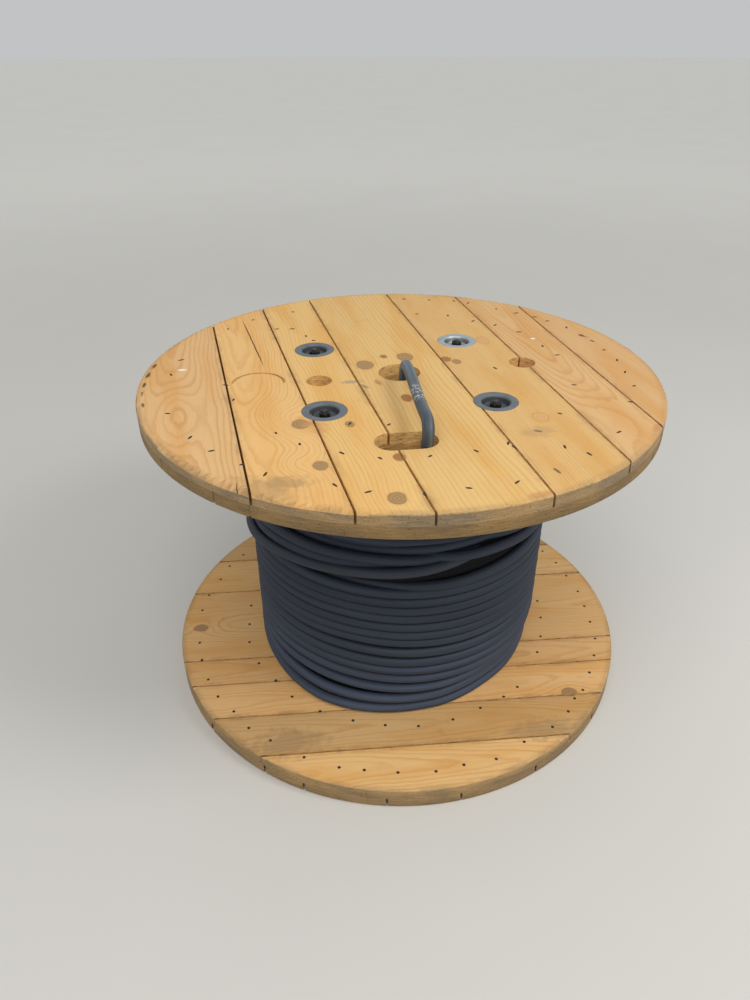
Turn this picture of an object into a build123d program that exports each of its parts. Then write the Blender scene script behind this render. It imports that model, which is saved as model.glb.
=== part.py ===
"""A wooden cable drum with its winding of grey cable, standing on its lower flange.

Two round flanges, each of two crossed layers of pine boards, are drawn together over a barrel of
staves by four tie bolts. The cable is wound round the barrel in three layers, and its inner end
comes up through the starter slot, over the upper flange and down into the arbor hole.

Millimetres. The origin is on the drum's axis, in the plane that the drum stands on, and +Z is up.
"""

import os
from math import cos, pi, radians, sin, sqrt, tan

from build123d import *

# Flanges
FLANGE_DIAMETER = 1000.0
BOARD_THICKNESS = 22.0
TRAVERSE = 570.0  # clear distance between the flanges
RIM_CHAMFER = 2.5  # worn arris round the open face of each flange
BOARD_GAP = 4.0

# Each layer's grain direction, and the joints between its boards as shares of the flange's radius
UPPER_OUTER_GRAIN = -73.1
UPPER_OUTER_JOINTS = (-0.667, -0.407, -0.178, 0.2, 0.517, 0.754)
UPPER_OUTER_TURNS = (0.2, 1.2, 0.6, -0.2, -0.3, -1.3)  # the hand-laid boards taper: each joint's turn from the grain
UPPER_INNER_GRAIN = 16.9
UPPER_INNER_JOINTS = (-0.74, -0.638, -0.39, -0.13, 0.13, 0.38, 0.62, 0.83)
LOWER_INNER_GRAIN = 7.7
LOWER_INNER_JOINTS = (-0.79, -0.588, -0.402, -0.252, 0.218, 0.472, 0.74)
LOWER_OUTER_GRAIN = 97.7
LOWER_OUTER_JOINTS = (-0.75, -0.45, -0.14, 0.14, 0.448, 0.598, 0.82)

# Holes in the flanges
ARBOR_DIAMETER = 82.0
DRIVE_HOLES = ((-152.6, -46.3, 25.0), (245.5, 60.8, 26.5))  # x, y, radius, in the outer boards only
SLOT_LENGTH = 108.0  # starter slot, roughly along the rim, with round ends
SLOT_WIDTH = 60.0
SLOT_TO_BARREL = 3.0  # the slot opens just outside the barrel
SLOT_ANGLE = -86.4
SLOT_TURN = 10.0  # direction of its long sides

# Shallow half ring that a hole saw left in the upper flange
SAW_MARK_CENTRE = (-267.0, -64.0)
SAW_MARK_RADIUS = 49.0
SAW_MARK_WIDTH = 3.0
SAW_MARK_DEPTH = 2.0
SAW_MARK_TURN = 4.0  # direction of its ends

# Barrel
BARREL_DIAMETER = 500.0
STAVE_COUNT = 24
STAVE_THICKNESS = 20.0
STAVE_GAP = 1.0
DISC_THICKNESS = 22.0
DISC_BORE = 100.0
SEAT_CLEARANCE = 0.3

# Tie bolts and their dished washers
BOLT_TO_STAVES = 11.9  # from the inside of the staves to the middle of a bolt
BOLT_ANGLES = (55.9, 148.0, 233.9, 324.9)  # drilled by eye, so not quite a quarter turn apart
BOLT_STRAYS = (-3.0, -4.0, 2.0, 1.0)  # how far outside the bolt circle each one is
BOLT_DIAMETER = 12.0
BOLT_HOLE_CLEARANCE = 0.5
BOLT_END_STANDOUT = 4.0  # bolt end above its nut
BOLT_END_CHAMFER = 1.0
HEX_ACROSS_FLATS = 19.0
NUT_HEIGHT = 10.0
NUT_TURN = 15.0  # how far a nut stands turned from the line to the axis
HEAD_HEIGHT = 7.5
CUP_DIAMETER = 82.0
CUP_MOUTH_DIAMETER = 54.0
CUP_FLOOR_DIAMETER = 44.0
CUP_DEPTH = 13.0
CUP_SHEET = 2.0
CUP_FIT = 0.3
CUP_WALL_SHARE = 0.8  # how far the tapered wall stands out behind its mouth, as a share of the sheet
CUP_CUTTER_CLEARANCE = 10.0  # how far a cutter goes on outside the flange
UPPER_RIM_STANDOUT = 0.8  # the upper washers' rims stand a little proud of the boards
LOWER_RIM_SETBACK = 1.0  # the lower ones are sunk, so that the drum stands on its boards

# Cable
CABLE_DIAMETER = 20.5
LAYERS = 3
LOWER_TURNS = 16  # outer turns below the loose ones
UPPER_TURNS = 7  # outer turns above them
LOOSE_BAND = (381.0, 456.0)  # heights between which the outer layer has slackened
LOOSE_BAND_TURNS = 4
GROOVE_DEPTH = 8.0
CROWN_WIDTH = 9.0  # flat that stands for the round back of a turn
CABLE_CLEARANCE = 0.3
RING_POINTS = 24

# Places of the two slack turns: heights from the edges of the loose band, angles round the axis
LOWER_LOOSE_RISE = 20.0
LOWER_LOOSE_SLIP = 40.0  # how far it has dropped at the left
SLIP_ANGLE = 195.0
SLIP_HALF_WIDTH = 12.0
SLIP_FADE = 75.0
UPPER_LOOSE_DROP = 26.0
UPPER_LOOSE_TILT = 5.0
UPPER_LOOSE_HIGH_ANGLE = 160.0

# Heights that follow
UPPER_FLANGE_BOTTOM = 2 * BOARD_THICKNESS + TRAVERSE
TOP = UPPER_FLANGE_BOTTOM + 2 * BOARD_THICKNESS
WINDING_BOTTOM = 2 * BOARD_THICKNESS
WINDING_TOP = UPPER_FLANGE_BOTTOM - CABLE_CLEARANCE
WINDING_BORE_RADIUS = BARREL_DIAMETER / 2 + CABLE_CLEARANCE
STAVE_INSIDE = BARREL_DIAMETER / 2 * cos(pi / STAVE_COUNT) - STAVE_THICKNESS
BOLT_CIRCLE_RADIUS = STAVE_INSIDE - BOLT_TO_STAVES
SLOT_RADIUS = BARREL_DIAMETER / 2 + SLOT_TO_BARREL + SLOT_WIDTH / 2

# The inner end of the cable, from the winding under the slot, over the flange and into the arbor
# hole: points of its middle line, with heights above the upper flange's face
TAIL_START = (51.0, -292.5)
TAIL_ROUTE = (
    (51.0, -292.5, -10.0),
    (53.5, -300.0, 23.0),
    (51.5, -279.0, 38.5),
    (44.5, -237.0, 35.0),
    (35.0, -181.0, 35.5),
    (26.0, -124.0, 38.5),
    (16.5, -66.0, 39.5),
    (11.0, -22.0, 27.0),
    (9.0, -6.0, -8.0),
    (9.0, -2.5, -46.0),
    (12.0, 3.0, -84.0),
)


def polar(radius: float, angle: float) -> tuple[float, float]:
    """Point at a distance and an angle in degrees from the axis."""
    return radius * cos(radians(angle)), radius * sin(radians(angle))


def bolt_place(angle: float) -> tuple[float, float]:
    """Middle of the tie bolt at an angle of BOLT_ANGLES."""
    return polar(BOLT_CIRCLE_RADIUS + BOLT_STRAYS[BOLT_ANGLES.index(angle)], angle)


def write(piece: Part, label: str) -> None:
    """Label a finished piece and write its STEP file."""
    piece.label = label
    export_step(piece, f"parts/{label}.step")


def hexagon_radius() -> float:
    """Corner radius of the nuts and bolt heads."""
    return HEX_ACROSS_FLATS / sqrt(3)


def cup_cutters(face_height: float, outward: int) -> list[Part]:
    """Room for the four dished washers of one flange, from its open face inwards.

    The rim lies in a shallow sinking and the dish in a deeper one, and the bolt hole goes on
    through the flange.
    """
    rim_outer = UPPER_RIM_STANDOUT if outward > 0 else -LOWER_RIM_SETBACK
    rim_floor = face_height + outward * (rim_outer - CUP_SHEET)
    dish_floor = face_height + outward * (rim_outer - CUP_DEPTH - CUP_SHEET)
    clear = face_height + outward * CUP_CUTTER_CLEARANCE
    with BuildPart() as cutters:
        for angle in BOLT_ANGLES:
            x, y = bolt_place(angle)
            with BuildSketch(Plane.XY.offset(rim_floor)):
                with Locations((x, y)):
                    Circle(CUP_DIAMETER / 2 + CUP_FIT)
            extrude(amount=clear - rim_floor)
            with BuildSketch(Plane.XY.offset(rim_floor)):
                with Locations((x, y)):
                    Circle(CUP_MOUTH_DIAMETER / 2 + CUP_SHEET + CUP_FIT)
            with BuildSketch(Plane.XY.offset(dish_floor)):
                with Locations((x, y)):
                    Circle(CUP_FLOOR_DIAMETER / 2 + CUP_SHEET + CUP_FIT)
            loft()
    return [cutters.part]


def saw_mark_cutter() -> Part:
    """Cutter for the half ring, a shallow groove in the upper flange's open face."""
    with BuildPart() as mark:
        with BuildSketch(Plane.XY.offset(TOP - SAW_MARK_DEPTH)):
            with Locations(Location((*SAW_MARK_CENTRE, 0), (0, 0, SAW_MARK_TURN))):
                Circle(SAW_MARK_RADIUS + SAW_MARK_WIDTH / 2)
                Circle(SAW_MARK_RADIUS - SAW_MARK_WIDTH / 2, mode=Mode.SUBTRACT)
                Rectangle(3 * SAW_MARK_RADIUS, 2 * SAW_MARK_RADIUS, align=(Align.CENTER, Align.MIN), mode=Mode.INTERSECT)
        extrude(amount=2 * SAW_MARK_DEPTH)
    return mark.part


def flange_layer(
    name: str,
    bottom: float,
    grain: float,
    joints: tuple[float, ...],
    cutters: list[Part],
    open_face: int = 0,
    holes: tuple[tuple[float, float, float], ...] = (),
    slot: bool = False,
    turns: tuple[float, ...] = (),
) -> None:
    """One layer of a flange: boards side by side, sawn to a disc, with the holes cut through them.

    open_face is +1 or -1 where the layer's upper or lower rim is worn, and 0 inside the flange.
    turns holds each joint's turn from the grain, where the joints aren't parallel.
    """
    radius = FLANGE_DIAMETER / 2
    edges = [share * radius for share in (-1.0, *joints, 1.0)]
    slopes = [tan(radians(turn)) for turn in (0.0, *(turns or (0.0,) * len(joints)), 0.0)]
    ahead = Vector(*polar(1.0, grain))
    across = Vector(*polar(1.0, grain + 90))
    for number, (low, high) in enumerate(zip(edges[:-1], edges[1:]), start=1):
        low_edge = low + (BOARD_GAP / 2 if number > 1 else -BOARD_GAP)
        high_edge = high - (BOARD_GAP / 2 if number <= len(joints) else -BOARD_GAP)
        corners = [
            ahead * reach + across * (edge + reach * slope)
            for reach, edge, slope in (
                (-radius, low_edge, slopes[number - 1]),
                (radius, low_edge, slopes[number - 1]),
                (radius, high_edge, slopes[number]),
                (-radius, high_edge, slopes[number]),
            )
        ]
        with BuildPart() as board:
            with BuildSketch(Plane.XY.offset(bottom)):
                Circle(radius)
                Polygon(*corners, align=None, mode=Mode.INTERSECT)
            extrude(amount=BOARD_THICKNESS)
            if open_face:
                face = board.faces().sort_by(Axis.Z)[-1 if open_face > 0 else 0]
                chamfer(face.edges().filter_by(GeomType.CIRCLE), RIM_CHAMFER)
            with BuildSketch(Plane.XY.offset(bottom)):
                Circle(ARBOR_DIAMETER / 2)
                for angle in BOLT_ANGLES:
                    with Locations(bolt_place(angle)):
                        Circle(BOLT_DIAMETER / 2 + BOLT_HOLE_CLEARANCE)
                for x, y, hole_radius in holes:
                    with Locations((x, y)):
                        Circle(hole_radius)
                if slot:
                    with Locations(polar(SLOT_RADIUS, SLOT_ANGLE)):
                        SlotOverall(SLOT_LENGTH, SLOT_WIDTH, rotation=SLOT_TURN)
            extrude(amount=BOARD_THICKNESS, mode=Mode.SUBTRACT)
            add(cutters, mode=Mode.SUBTRACT)
        write(board.part, f"{name}_board_{number}")


def barrel_staves() -> None:
    """Flat staves side by side round the barrel, butted between the two flanges."""
    half_angle = pi / STAVE_COUNT
    outer_flat = BARREL_DIAMETER / 2 * cos(half_angle)
    inner_flat = STAVE_INSIDE
    outer_half_width = outer_flat * tan(half_angle) - STAVE_GAP / 2
    inner_half_width = inner_flat * tan(half_angle) - STAVE_GAP / 2
    with BuildPart() as staves:
        with BuildSketch(Plane.XY.offset(WINDING_BOTTOM)):
            with PolarLocations(0, STAVE_COUNT):
                Polygon(
                    (inner_flat, -inner_half_width),
                    (outer_flat, -outer_half_width),
                    (outer_flat, outer_half_width),
                    (inner_flat, inner_half_width),
                    align=None,
                )
        extrude(amount=TRAVERSE)
    write(staves.part, "barrel_staves")


def barrel_disc(name: str, bottom: float) -> None:
    """Round support inside the staves, against one flange."""
    with BuildPart() as disc:
        with BuildSketch(Plane.XY.offset(bottom)):
            Circle(STAVE_INSIDE - SEAT_CLEARANCE)
            Circle(DISC_BORE / 2, mode=Mode.SUBTRACT)
            for angle in BOLT_ANGLES:
                with Locations(bolt_place(angle)):
                    Circle(BOLT_DIAMETER / 2 + BOLT_HOLE_CLEARANCE, mode=Mode.SUBTRACT)
        extrude(amount=DISC_THICKNESS)
    write(disc.part, name)


def cup_washer(name: str, angle: float, face_height: float, outward: int) -> None:
    """Dished steel washer: a flat rim on the boards, a tapered wall and a floor under the nut."""
    rim_outer = UPPER_RIM_STANDOUT if outward > 0 else -LOWER_RIM_SETBACK
    rim_top = face_height + outward * rim_outer
    rim_under = rim_top - outward * CUP_SHEET
    floor_top = rim_top - outward * CUP_DEPTH
    floor_under = floor_top - outward * CUP_SHEET
    hole = BOLT_DIAMETER / 2 + BOLT_HOLE_CLEARANCE
    x, y = bolt_place(angle)
    with BuildPart() as cup:
        with BuildSketch(Plane.XZ.offset(-y)) as profile:
            with Locations((x, 0)):
                Polygon(
                    (hole, floor_under),
                    (CUP_FLOOR_DIAMETER / 2 + CUP_SHEET * CUP_WALL_SHARE, floor_under),
                    (CUP_MOUTH_DIAMETER / 2 + CUP_SHEET * CUP_WALL_SHARE, rim_under),
                    (CUP_DIAMETER / 2, rim_under),
                    (CUP_DIAMETER / 2, rim_top),
                    (CUP_MOUTH_DIAMETER / 2, rim_top),
                    (CUP_FLOOR_DIAMETER / 2, floor_top),
                    (hole, floor_top),
                    align=None,
                )
        revolve(axis=Axis((x, y, 0), (0, 0, 1)))
    write(cup.part, name)


def tie_bolt(name: str, angle: float) -> None:
    """Through bolt: hexagon head in the lower washer, end standing out of the upper nut."""
    head_top = LOWER_RIM_SETBACK + CUP_DEPTH
    end = TOP + UPPER_RIM_STANDOUT - CUP_DEPTH + NUT_HEIGHT + BOLT_END_STANDOUT
    with BuildPart() as bolt:
        with BuildSketch(Plane.XY.offset(head_top - HEAD_HEIGHT)):
            with Locations(bolt_place(angle)):
                RegularPolygon(hexagon_radius(), 6, rotation=angle)
        extrude(amount=HEAD_HEIGHT)
        with BuildSketch(Plane.XY.offset(head_top)):
            with Locations(bolt_place(angle)):
                Circle(BOLT_DIAMETER / 2)
        extrude(amount=end - head_top)
        chamfer(bolt.faces().sort_by(Axis.Z)[-1].edges(), BOLT_END_CHAMFER)
    write(bolt.part, name)


def hex_nut(name: str, angle: float) -> None:
    """Hexagon nut on the floor of an upper washer."""
    seat = TOP + UPPER_RIM_STANDOUT - CUP_DEPTH
    with BuildPart() as nut:
        with BuildSketch(Plane.XY.offset(seat)):
            with Locations(bolt_place(angle)):
                RegularPolygon(hexagon_radius(), 6, rotation=angle + NUT_TURN)
                Circle(BOLT_DIAMETER / 2, mode=Mode.SUBTRACT)
        extrude(amount=NUT_HEIGHT)
    write(nut.part, name)


def turn_backs(start: tuple[float, float], end: tuple[float, float], count: int, bulge: tuple[float, float]) -> None:
    """Row of cable turns in the winding's section, each a flat-topped ridge between two grooves."""
    row = Vector(*end) - Vector(*start)
    half_crown = row.normalized() * (CROWN_WIDTH / 2)
    for number in range(count):
        near = Vector(*start) + row * (number / count)
        far = Vector(*start) + row * ((number + 1) / count)
        crown = (near + far) / 2 + Vector(*bulge)
        Polyline(near, crown - half_crown, crown + half_crown, far)


def cable_winding() -> None:
    """The wound cable as one turned solid, its turns showing outside and on both ends.

    The outer layer is missing over the loose band, where the layer under it shows.
    """
    outer = WINDING_BORE_RADIUS + LAYERS * CABLE_DIAMETER - GROOVE_DEPTH
    inner = outer - CABLE_DIAMETER
    low, high = LOOSE_BAND
    floor, ceiling = WINDING_BOTTOM + GROOVE_DEPTH, WINDING_TOP - GROOVE_DEPTH
    with BuildPart() as winding:
        with BuildSketch(Plane.XZ):
            with BuildLine():
                turn_backs((WINDING_BORE_RADIUS, floor), (outer, floor), LAYERS, (0, -GROOVE_DEPTH))
                turn_backs((outer, floor), (outer, low), LOWER_TURNS, (GROOVE_DEPTH, 0))
                Line((outer, low), (inner, low))
                turn_backs((inner, low), (inner, high), LOOSE_BAND_TURNS, (GROOVE_DEPTH, 0))
                Line((inner, high), (outer, high))
                turn_backs((outer, high), (outer, ceiling), UPPER_TURNS, (GROOVE_DEPTH, 0))
                turn_backs((outer, ceiling), (WINDING_BORE_RADIUS, ceiling), LAYERS, (0, GROOVE_DEPTH))
                Line((WINDING_BORE_RADIUS, ceiling), (WINDING_BORE_RADIUS, floor))
            make_face()
        revolve(axis=Axis.Z)
    write(winding.part, "cable_winding")


def corner_radii(points: list[tuple[float, float, float]], closed: bool) -> list[float]:
    """Largest tangent arc at each corner: 0.45 of its shorter run over the tangent of half its turn."""
    count = len(points)
    corners = range(count) if closed else range(1, count - 1)
    radii = []
    for index in corners:
        before, here, after = (Vector(*points[(index + step) % count]) for step in (-1, 0, 1))
        turn = (here - before).get_angle(after - here)
        run = min((here - before).length, (after - here).length)
        radii.append(0.45 * run / tan(radians(turn) / 2))
    return radii


def cable_tube(name: str, points: list[tuple[float, float, float]], closed: bool = False) -> None:
    """Round cable along straight runs joined by tangent arcs."""
    radii = corner_radii(points, closed)
    print(name, "bend radii", [round(radius) for radius in radii])
    with BuildPart() as tube:
        with BuildLine() as path:
            FilletPolyline(*points, radius=radii, close=closed)
        with BuildSketch(Plane(path.wire() @ 0, z_dir=path.wire() % 0)):
            Circle(CABLE_DIAMETER / 2)
        sweep()
    length = path.wire().length
    print(name, "length", round(length), "volume ratio", tube.part.volume / (length * pi * (CABLE_DIAMETER / 2) ** 2))
    write(tube.part, name)


def smooth_step(value: float) -> float:
    """Ease from 0 to 1 with no corner."""
    held = min(max(value, 0.0), 1.0)
    return held * held * (3 - 2 * held)


def loose_turns() -> None:
    """Two slack turns in the loose band.

    The lower one has slipped out on the left, where it rides on the turns below, and the upper
    one sinks a little towards the right.
    """
    under = WINDING_BORE_RADIUS + (LAYERS - 1) * CABLE_DIAMETER
    polygon_growth = 1 / cos(pi / RING_POINTS)
    seat = (under + CABLE_DIAMETER / 2 + 2 * CABLE_CLEARANCE) * polygon_growth
    lower, upper = [], []
    for number in range(RING_POINTS):
        angle = 360.0 * number / RING_POINTS
        from_slip = abs((angle - SLIP_ANGLE + 180) % 360 - 180)
        slip = 1 - smooth_step((from_slip - SLIP_HALF_WIDTH) / SLIP_FADE)
        height = LOOSE_BAND[0] + LOWER_LOOSE_RISE - LOWER_LOOSE_SLIP * slip
        pitch = (LOOSE_BAND[0] - WINDING_BOTTOM) / LOWER_TURNS
        below = LOOSE_BAND[0] - pitch / 2
        reach = CABLE_DIAMETER + 8 * CABLE_CLEARANCE
        perch = 0.0
        if abs(height - below) < reach:
            perch = under + CABLE_DIAMETER / 2 + sqrt(reach**2 - (height - below) ** 2)
        radius = max(seat, perch * polygon_growth)
        lower.append((*polar(radius, angle), height))
        tilt = UPPER_LOOSE_TILT * cos(radians(angle - UPPER_LOOSE_HIGH_ANGLE))
        upper.append((*polar(seat, angle), LOOSE_BAND[1] - UPPER_LOOSE_DROP + tilt))
    cable_tube("cable_loose_turn_lower", lower, closed=True)
    cable_tube("cable_loose_turn_upper", upper, closed=True)


def main() -> None:
    """Make and write every piece."""
    os.makedirs("parts", exist_ok=True)
    upper_cups = cup_cutters(TOP, 1)
    saw_mark = saw_mark_cutter()
    lower_cups = cup_cutters(0.0, -1)
    flange_layer(
        "upper_outer",
        TOP - BOARD_THICKNESS,
        UPPER_OUTER_GRAIN,
        UPPER_OUTER_JOINTS,
        upper_cups + [saw_mark],
        open_face=1,
        holes=DRIVE_HOLES,
        slot=True,
        turns=UPPER_OUTER_TURNS,
    )
    flange_layer("upper_inner", UPPER_FLANGE_BOTTOM, UPPER_INNER_GRAIN, UPPER_INNER_JOINTS, upper_cups, slot=True)
    flange_layer("lower_inner", BOARD_THICKNESS, LOWER_INNER_GRAIN, LOWER_INNER_JOINTS, lower_cups, open_face=1)
    flange_layer("lower_outer", 0.0, LOWER_OUTER_GRAIN, LOWER_OUTER_JOINTS, lower_cups, open_face=-1)
    barrel_staves()
    barrel_disc("barrel_disc_lower", WINDING_BOTTOM)
    barrel_disc("barrel_disc_upper", UPPER_FLANGE_BOTTOM - DISC_THICKNESS)
    for number, angle in enumerate(BOLT_ANGLES, start=1):
        cup_washer(f"cup_washer_upper_{number}", angle, TOP, 1)
        cup_washer(f"cup_washer_lower_{number}", angle, 0.0, -1)
        tie_bolt(f"tie_bolt_{number}", angle)
        hex_nut(f"hex_nut_{number}", angle)
    cable_winding()
    loose_turns()
    tail = [(*TAIL_START, WINDING_TOP), *((x, y, TOP + height) for x, y, height in TAIL_ROUTE)]
    cable_tube("cable_tail", tail)


main()
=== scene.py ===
"""Dresses the wooden cable drum: boards, dished washers, winding, cable end, floor, light, camera.

Metres, in the frame of the solids: the origin is on the drum's axis in the plane that the drum
stands on, and +Z is up. Plan directions are angles round the axis, 0 along +X.
"""

import logging
import math
from dataclasses import dataclass, replace
from enum import Enum
from typing import Callable, Union

import bmesh
import bpy
import numpy as np
from mathutils import Matrix, Vector

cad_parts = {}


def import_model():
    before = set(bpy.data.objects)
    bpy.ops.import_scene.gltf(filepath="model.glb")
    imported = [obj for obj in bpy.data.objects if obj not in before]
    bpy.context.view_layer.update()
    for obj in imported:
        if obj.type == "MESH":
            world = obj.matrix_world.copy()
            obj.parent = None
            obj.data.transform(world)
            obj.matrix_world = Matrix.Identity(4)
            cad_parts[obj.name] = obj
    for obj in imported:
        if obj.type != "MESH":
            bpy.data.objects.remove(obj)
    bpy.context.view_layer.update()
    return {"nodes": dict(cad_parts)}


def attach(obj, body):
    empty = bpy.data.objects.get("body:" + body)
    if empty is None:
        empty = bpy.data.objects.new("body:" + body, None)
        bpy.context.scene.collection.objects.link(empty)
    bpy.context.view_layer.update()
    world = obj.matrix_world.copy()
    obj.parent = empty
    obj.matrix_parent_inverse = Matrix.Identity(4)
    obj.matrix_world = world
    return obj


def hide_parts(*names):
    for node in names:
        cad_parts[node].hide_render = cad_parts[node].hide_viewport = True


LOG = logging.getLogger("cable_drum")

Array = np.ndarray
Socket = bpy.types.NodeSocket
Value = Union[float, "Term"]
Colour = tuple[float, float, float]
Tone = Union[Colour, "Term"]
Inputs = dict[Union[int, str], object]


@dataclass(frozen=True)
class DrumSizes:
    """Sizes that several pieces share, as in the solids."""

    flange_radius: float = 0.5
    board: float = 0.022
    lower_top: float = 0.044
    upper_bottom: float = 0.614
    top: float = 0.658
    winding_bore: float = 0.2503
    cable: float = 0.0205
    bolt_circle: float = 0.21596
    bolt_angles: tuple[float, ...] = (55.9, 148.0, 233.9, 324.9)
    bolt_strays: tuple[float, ...] = (-0.003, -0.004, 0.002, 0.001)

    def bolt_places(self) -> Array:
        """Plan places of the four tie bolts, each a little off the bolt circle."""
        angles = np.radians(self.bolt_angles)
        reach = self.bolt_circle + np.array(self.bolt_strays)
        return reach[:, None] * np.stack([np.cos(angles), np.sin(angles)], axis=1)


SIZES = DrumSizes()


def linear(red: float, green: float, blue: float) -> Colour:
    """Linear colour of an sRGB colour given in 0 to 255.

    Formula: a channel c over 255 becomes ((c + 0.055) / 1.055) to the power 2.4.
    """
    return tuple(((channel / 255 + 0.055) / 1.055) ** 2.4 for channel in (red, green, blue))


def ease(values: Array, low: float, high: float) -> Array:
    """Smooth step from 0 at low to 1 at high: t squared times (3 - 2 t), with t held in 0 to 1."""
    share = np.clip((values - low) / (high - low), 0.0, 1.0)
    return share * share * (3 - 2 * share)


def circle(steps: int) -> Array:
    """Angles of a whole turn in even steps."""
    return 2 * math.pi * np.arange(steps) / steps


def waves(angles: Array, seed: int, count: int = 6) -> Array:
    """Smooth closed wobble of about unit height over angles in radians.

    Formula: a sum of sines of 1 to count waves per turn, with drawn phases, each as high as one
    over the square root of its number.
    """
    draw = np.random.default_rng(seed)
    orders = np.arange(1, count + 1)
    phases = draw.uniform(0, 2 * math.pi, count)
    heights = draw.uniform(0.5, 1.0, count) / np.sqrt(orders)
    return (heights * np.sin(angles[..., None] * orders + phases)).sum(-1) / np.sqrt(count / 2)


def averaged(values: Array, width: int, ends: str) -> Array:
    """Values averaged with their neighbours.

    Formula: the mean under a raised cosine of that many points, an odd number.

    Args:
        values: the values along a line.
        width: points under the bell.
        ends: how numpy's pad goes on past the ends.

    Returns:
        As many values.
    """
    bell = np.hanning(width) / np.hanning(width).sum()
    return np.convolve(np.pad(values, width // 2, mode=ends), bell, mode="valid")


@dataclass
class Surface:
    """A mesh as arrays: points, four-cornered faces, and a UV for each face corner."""

    points: Array
    faces: Array
    uv: Array

    @staticmethod
    def grid(points: Array, along: Array, rows_closed: bool = False) -> "Surface":
        """Surface over rows of points whose columns close on themselves.

        Formula: face (i, j) joins point (i, j) with (i, j + 1), (i + 1, j + 1) and (i + 1, j).
        U is the row's distance along the piece and V the column's share of the way round.

        Args:
            points: array of rows, columns and 3 coordinates.
            along: distance of each row along the piece, with one more where the rows close.
            rows_closed: whether the last row joins the first.

        Returns:
            The surface.
        """
        rows, columns = points.shape[:2]
        i = np.arange(rows if rows_closed else rows - 1)[:, None]
        j = np.arange(columns)[None, :]
        up = (i + 1) % rows
        beside = (j + 1) % columns
        here, above = i * columns, up * columns
        faces = np.stack([here + j, here + beside, above + beside, above + j], axis=-1)
        u = np.stack(np.broadcast_arrays(along[i], along[i], along[i + 1], along[i + 1]), axis=-1)
        v = np.stack(np.broadcast_arrays(j, j + 1, j + 1, j), axis=-1) / columns
        uv = np.stack(np.broadcast_arrays(u, v), axis=-1)
        return Surface(points.reshape(-1, 3), faces.reshape(-1, 4), uv.reshape(-1, 2))

    @staticmethod
    def join(surfaces: list["Surface"]) -> "Surface":
        """One surface of several, with the point numbers of each moved on by those before it."""
        starts = np.cumsum([0] + [len(part.points) for part in surfaces[:-1]])
        return Surface(
            np.concatenate([part.points for part in surfaces]),
            np.concatenate([part.faces + start for part, start in zip(surfaces, starts)]),
            np.concatenate([part.uv for part in surfaces]),
        )

    def piece(
        self, name: str, finish: bpy.types.Material, crease: float = 40.0
    ) -> bpy.types.Object:
        """Object with this surface as its mesh, its poles closed, its sharp edges kept.

        Args:
            name: the object's name.
            finish: its material.
            crease: edges sharper than this, in degrees, are not smoothed.

        Returns:
            The object, riding on the drum.
        """
        mesh = bpy.data.meshes.new(name)
        mesh.from_pydata(self.points.tolist(), [], self.faces.tolist())
        mesh.uv_layers.new(name="UVMap").data.foreach_set("uv", self.uv.astype(np.float32).ravel())
        shape = bmesh.new()
        shape.from_mesh(mesh)
        bmesh.ops.remove_doubles(shape, verts=shape.verts, dist=1e-6)
        shape.to_mesh(mesh)
        shape.free()
        return placed(mesh, finish, crease)


def placed(
    mesh: bpy.types.Mesh, finish: bpy.types.Material, crease: float
) -> bpy.types.Object:
    """Object with a mesh and of its name, riding on the drum.

    Args:
        mesh: the mesh, which gets smooth faces.
        finish: its only material.
        crease: edges sharper than this, in degrees, are not smoothed.

    Returns:
        The object.
    """
    mesh.shade_smooth()
    mesh.set_sharp_from_angle(angle=math.radians(crease))
    mesh.materials.clear()
    mesh.materials.append(finish)
    piece = bpy.data.objects.new(mesh.name, mesh)
    bpy.context.scene.collection.objects.link(piece)
    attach(piece, "root")
    return piece


def declared(piece: bpy.types.Object, solid: str = "") -> bpy.types.Object:
    """Hide the solid that a piece takes the place of, if one is given, and give back the piece."""
    if solid:
        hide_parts(solid)
    return piece


def paint(node: bpy.types.Object, finish: bpy.types.Material) -> None:
    """Give a solid this material in place of its own."""
    node.data.materials.clear()
    node.data.materials.append(finish)


def tube(path: Array, outward: Array, radius: Array, sides: int, closed: bool = False) -> Surface:
    """Tube round a path.

    Formula: at each point of the path, a circle in the plane square to the path, from the cosine
    times the outward direction and the sine times the direction square to it and to the path.

    Args:
        path: the points of its middle line.
        outward: a direction for each point, not along the path.
        radius: the tube's radius at each point.
        sides: number of points round it.
        closed: whether the path closes on itself.

    Returns:
        The surface, with poles at the ends of an open tube.
    """
    if closed:
        ahead = np.roll(path, -1, axis=0) - np.roll(path, 1, axis=0)
    else:
        ahead = np.gradient(path, axis=0)
    ahead = ahead / np.linalg.norm(ahead, axis=1, keepdims=True)
    first = outward - (outward * ahead).sum(1, keepdims=True) * ahead
    first = first / np.linalg.norm(first, axis=1, keepdims=True)
    second = np.cross(ahead, first)
    turn = circle(sides)
    cosine, sine = np.cos(turn)[None, :, None], np.sin(turn)[None, :, None]
    ring = cosine * first[:, None, :] + sine * second[:, None, :]
    points = path[:, None, :] + radius[:, None, None] * ring
    if closed:
        steps = np.linalg.norm(np.roll(path, -1, axis=0) - path, axis=1)
        return Surface.grid(points, np.concatenate([[0.0], np.cumsum(steps)]), rows_closed=True)
    steps = np.linalg.norm(np.diff(path, axis=0), axis=1)
    along = np.concatenate([[0.0], np.cumsum(steps)])
    poles = np.repeat(path[[0, -1], None, :], sides, axis=1)
    points = np.concatenate([poles[:1], points, poles[1:]])
    return Surface.grid(points, np.concatenate([along[:1], along, along[-1:]]))


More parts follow.
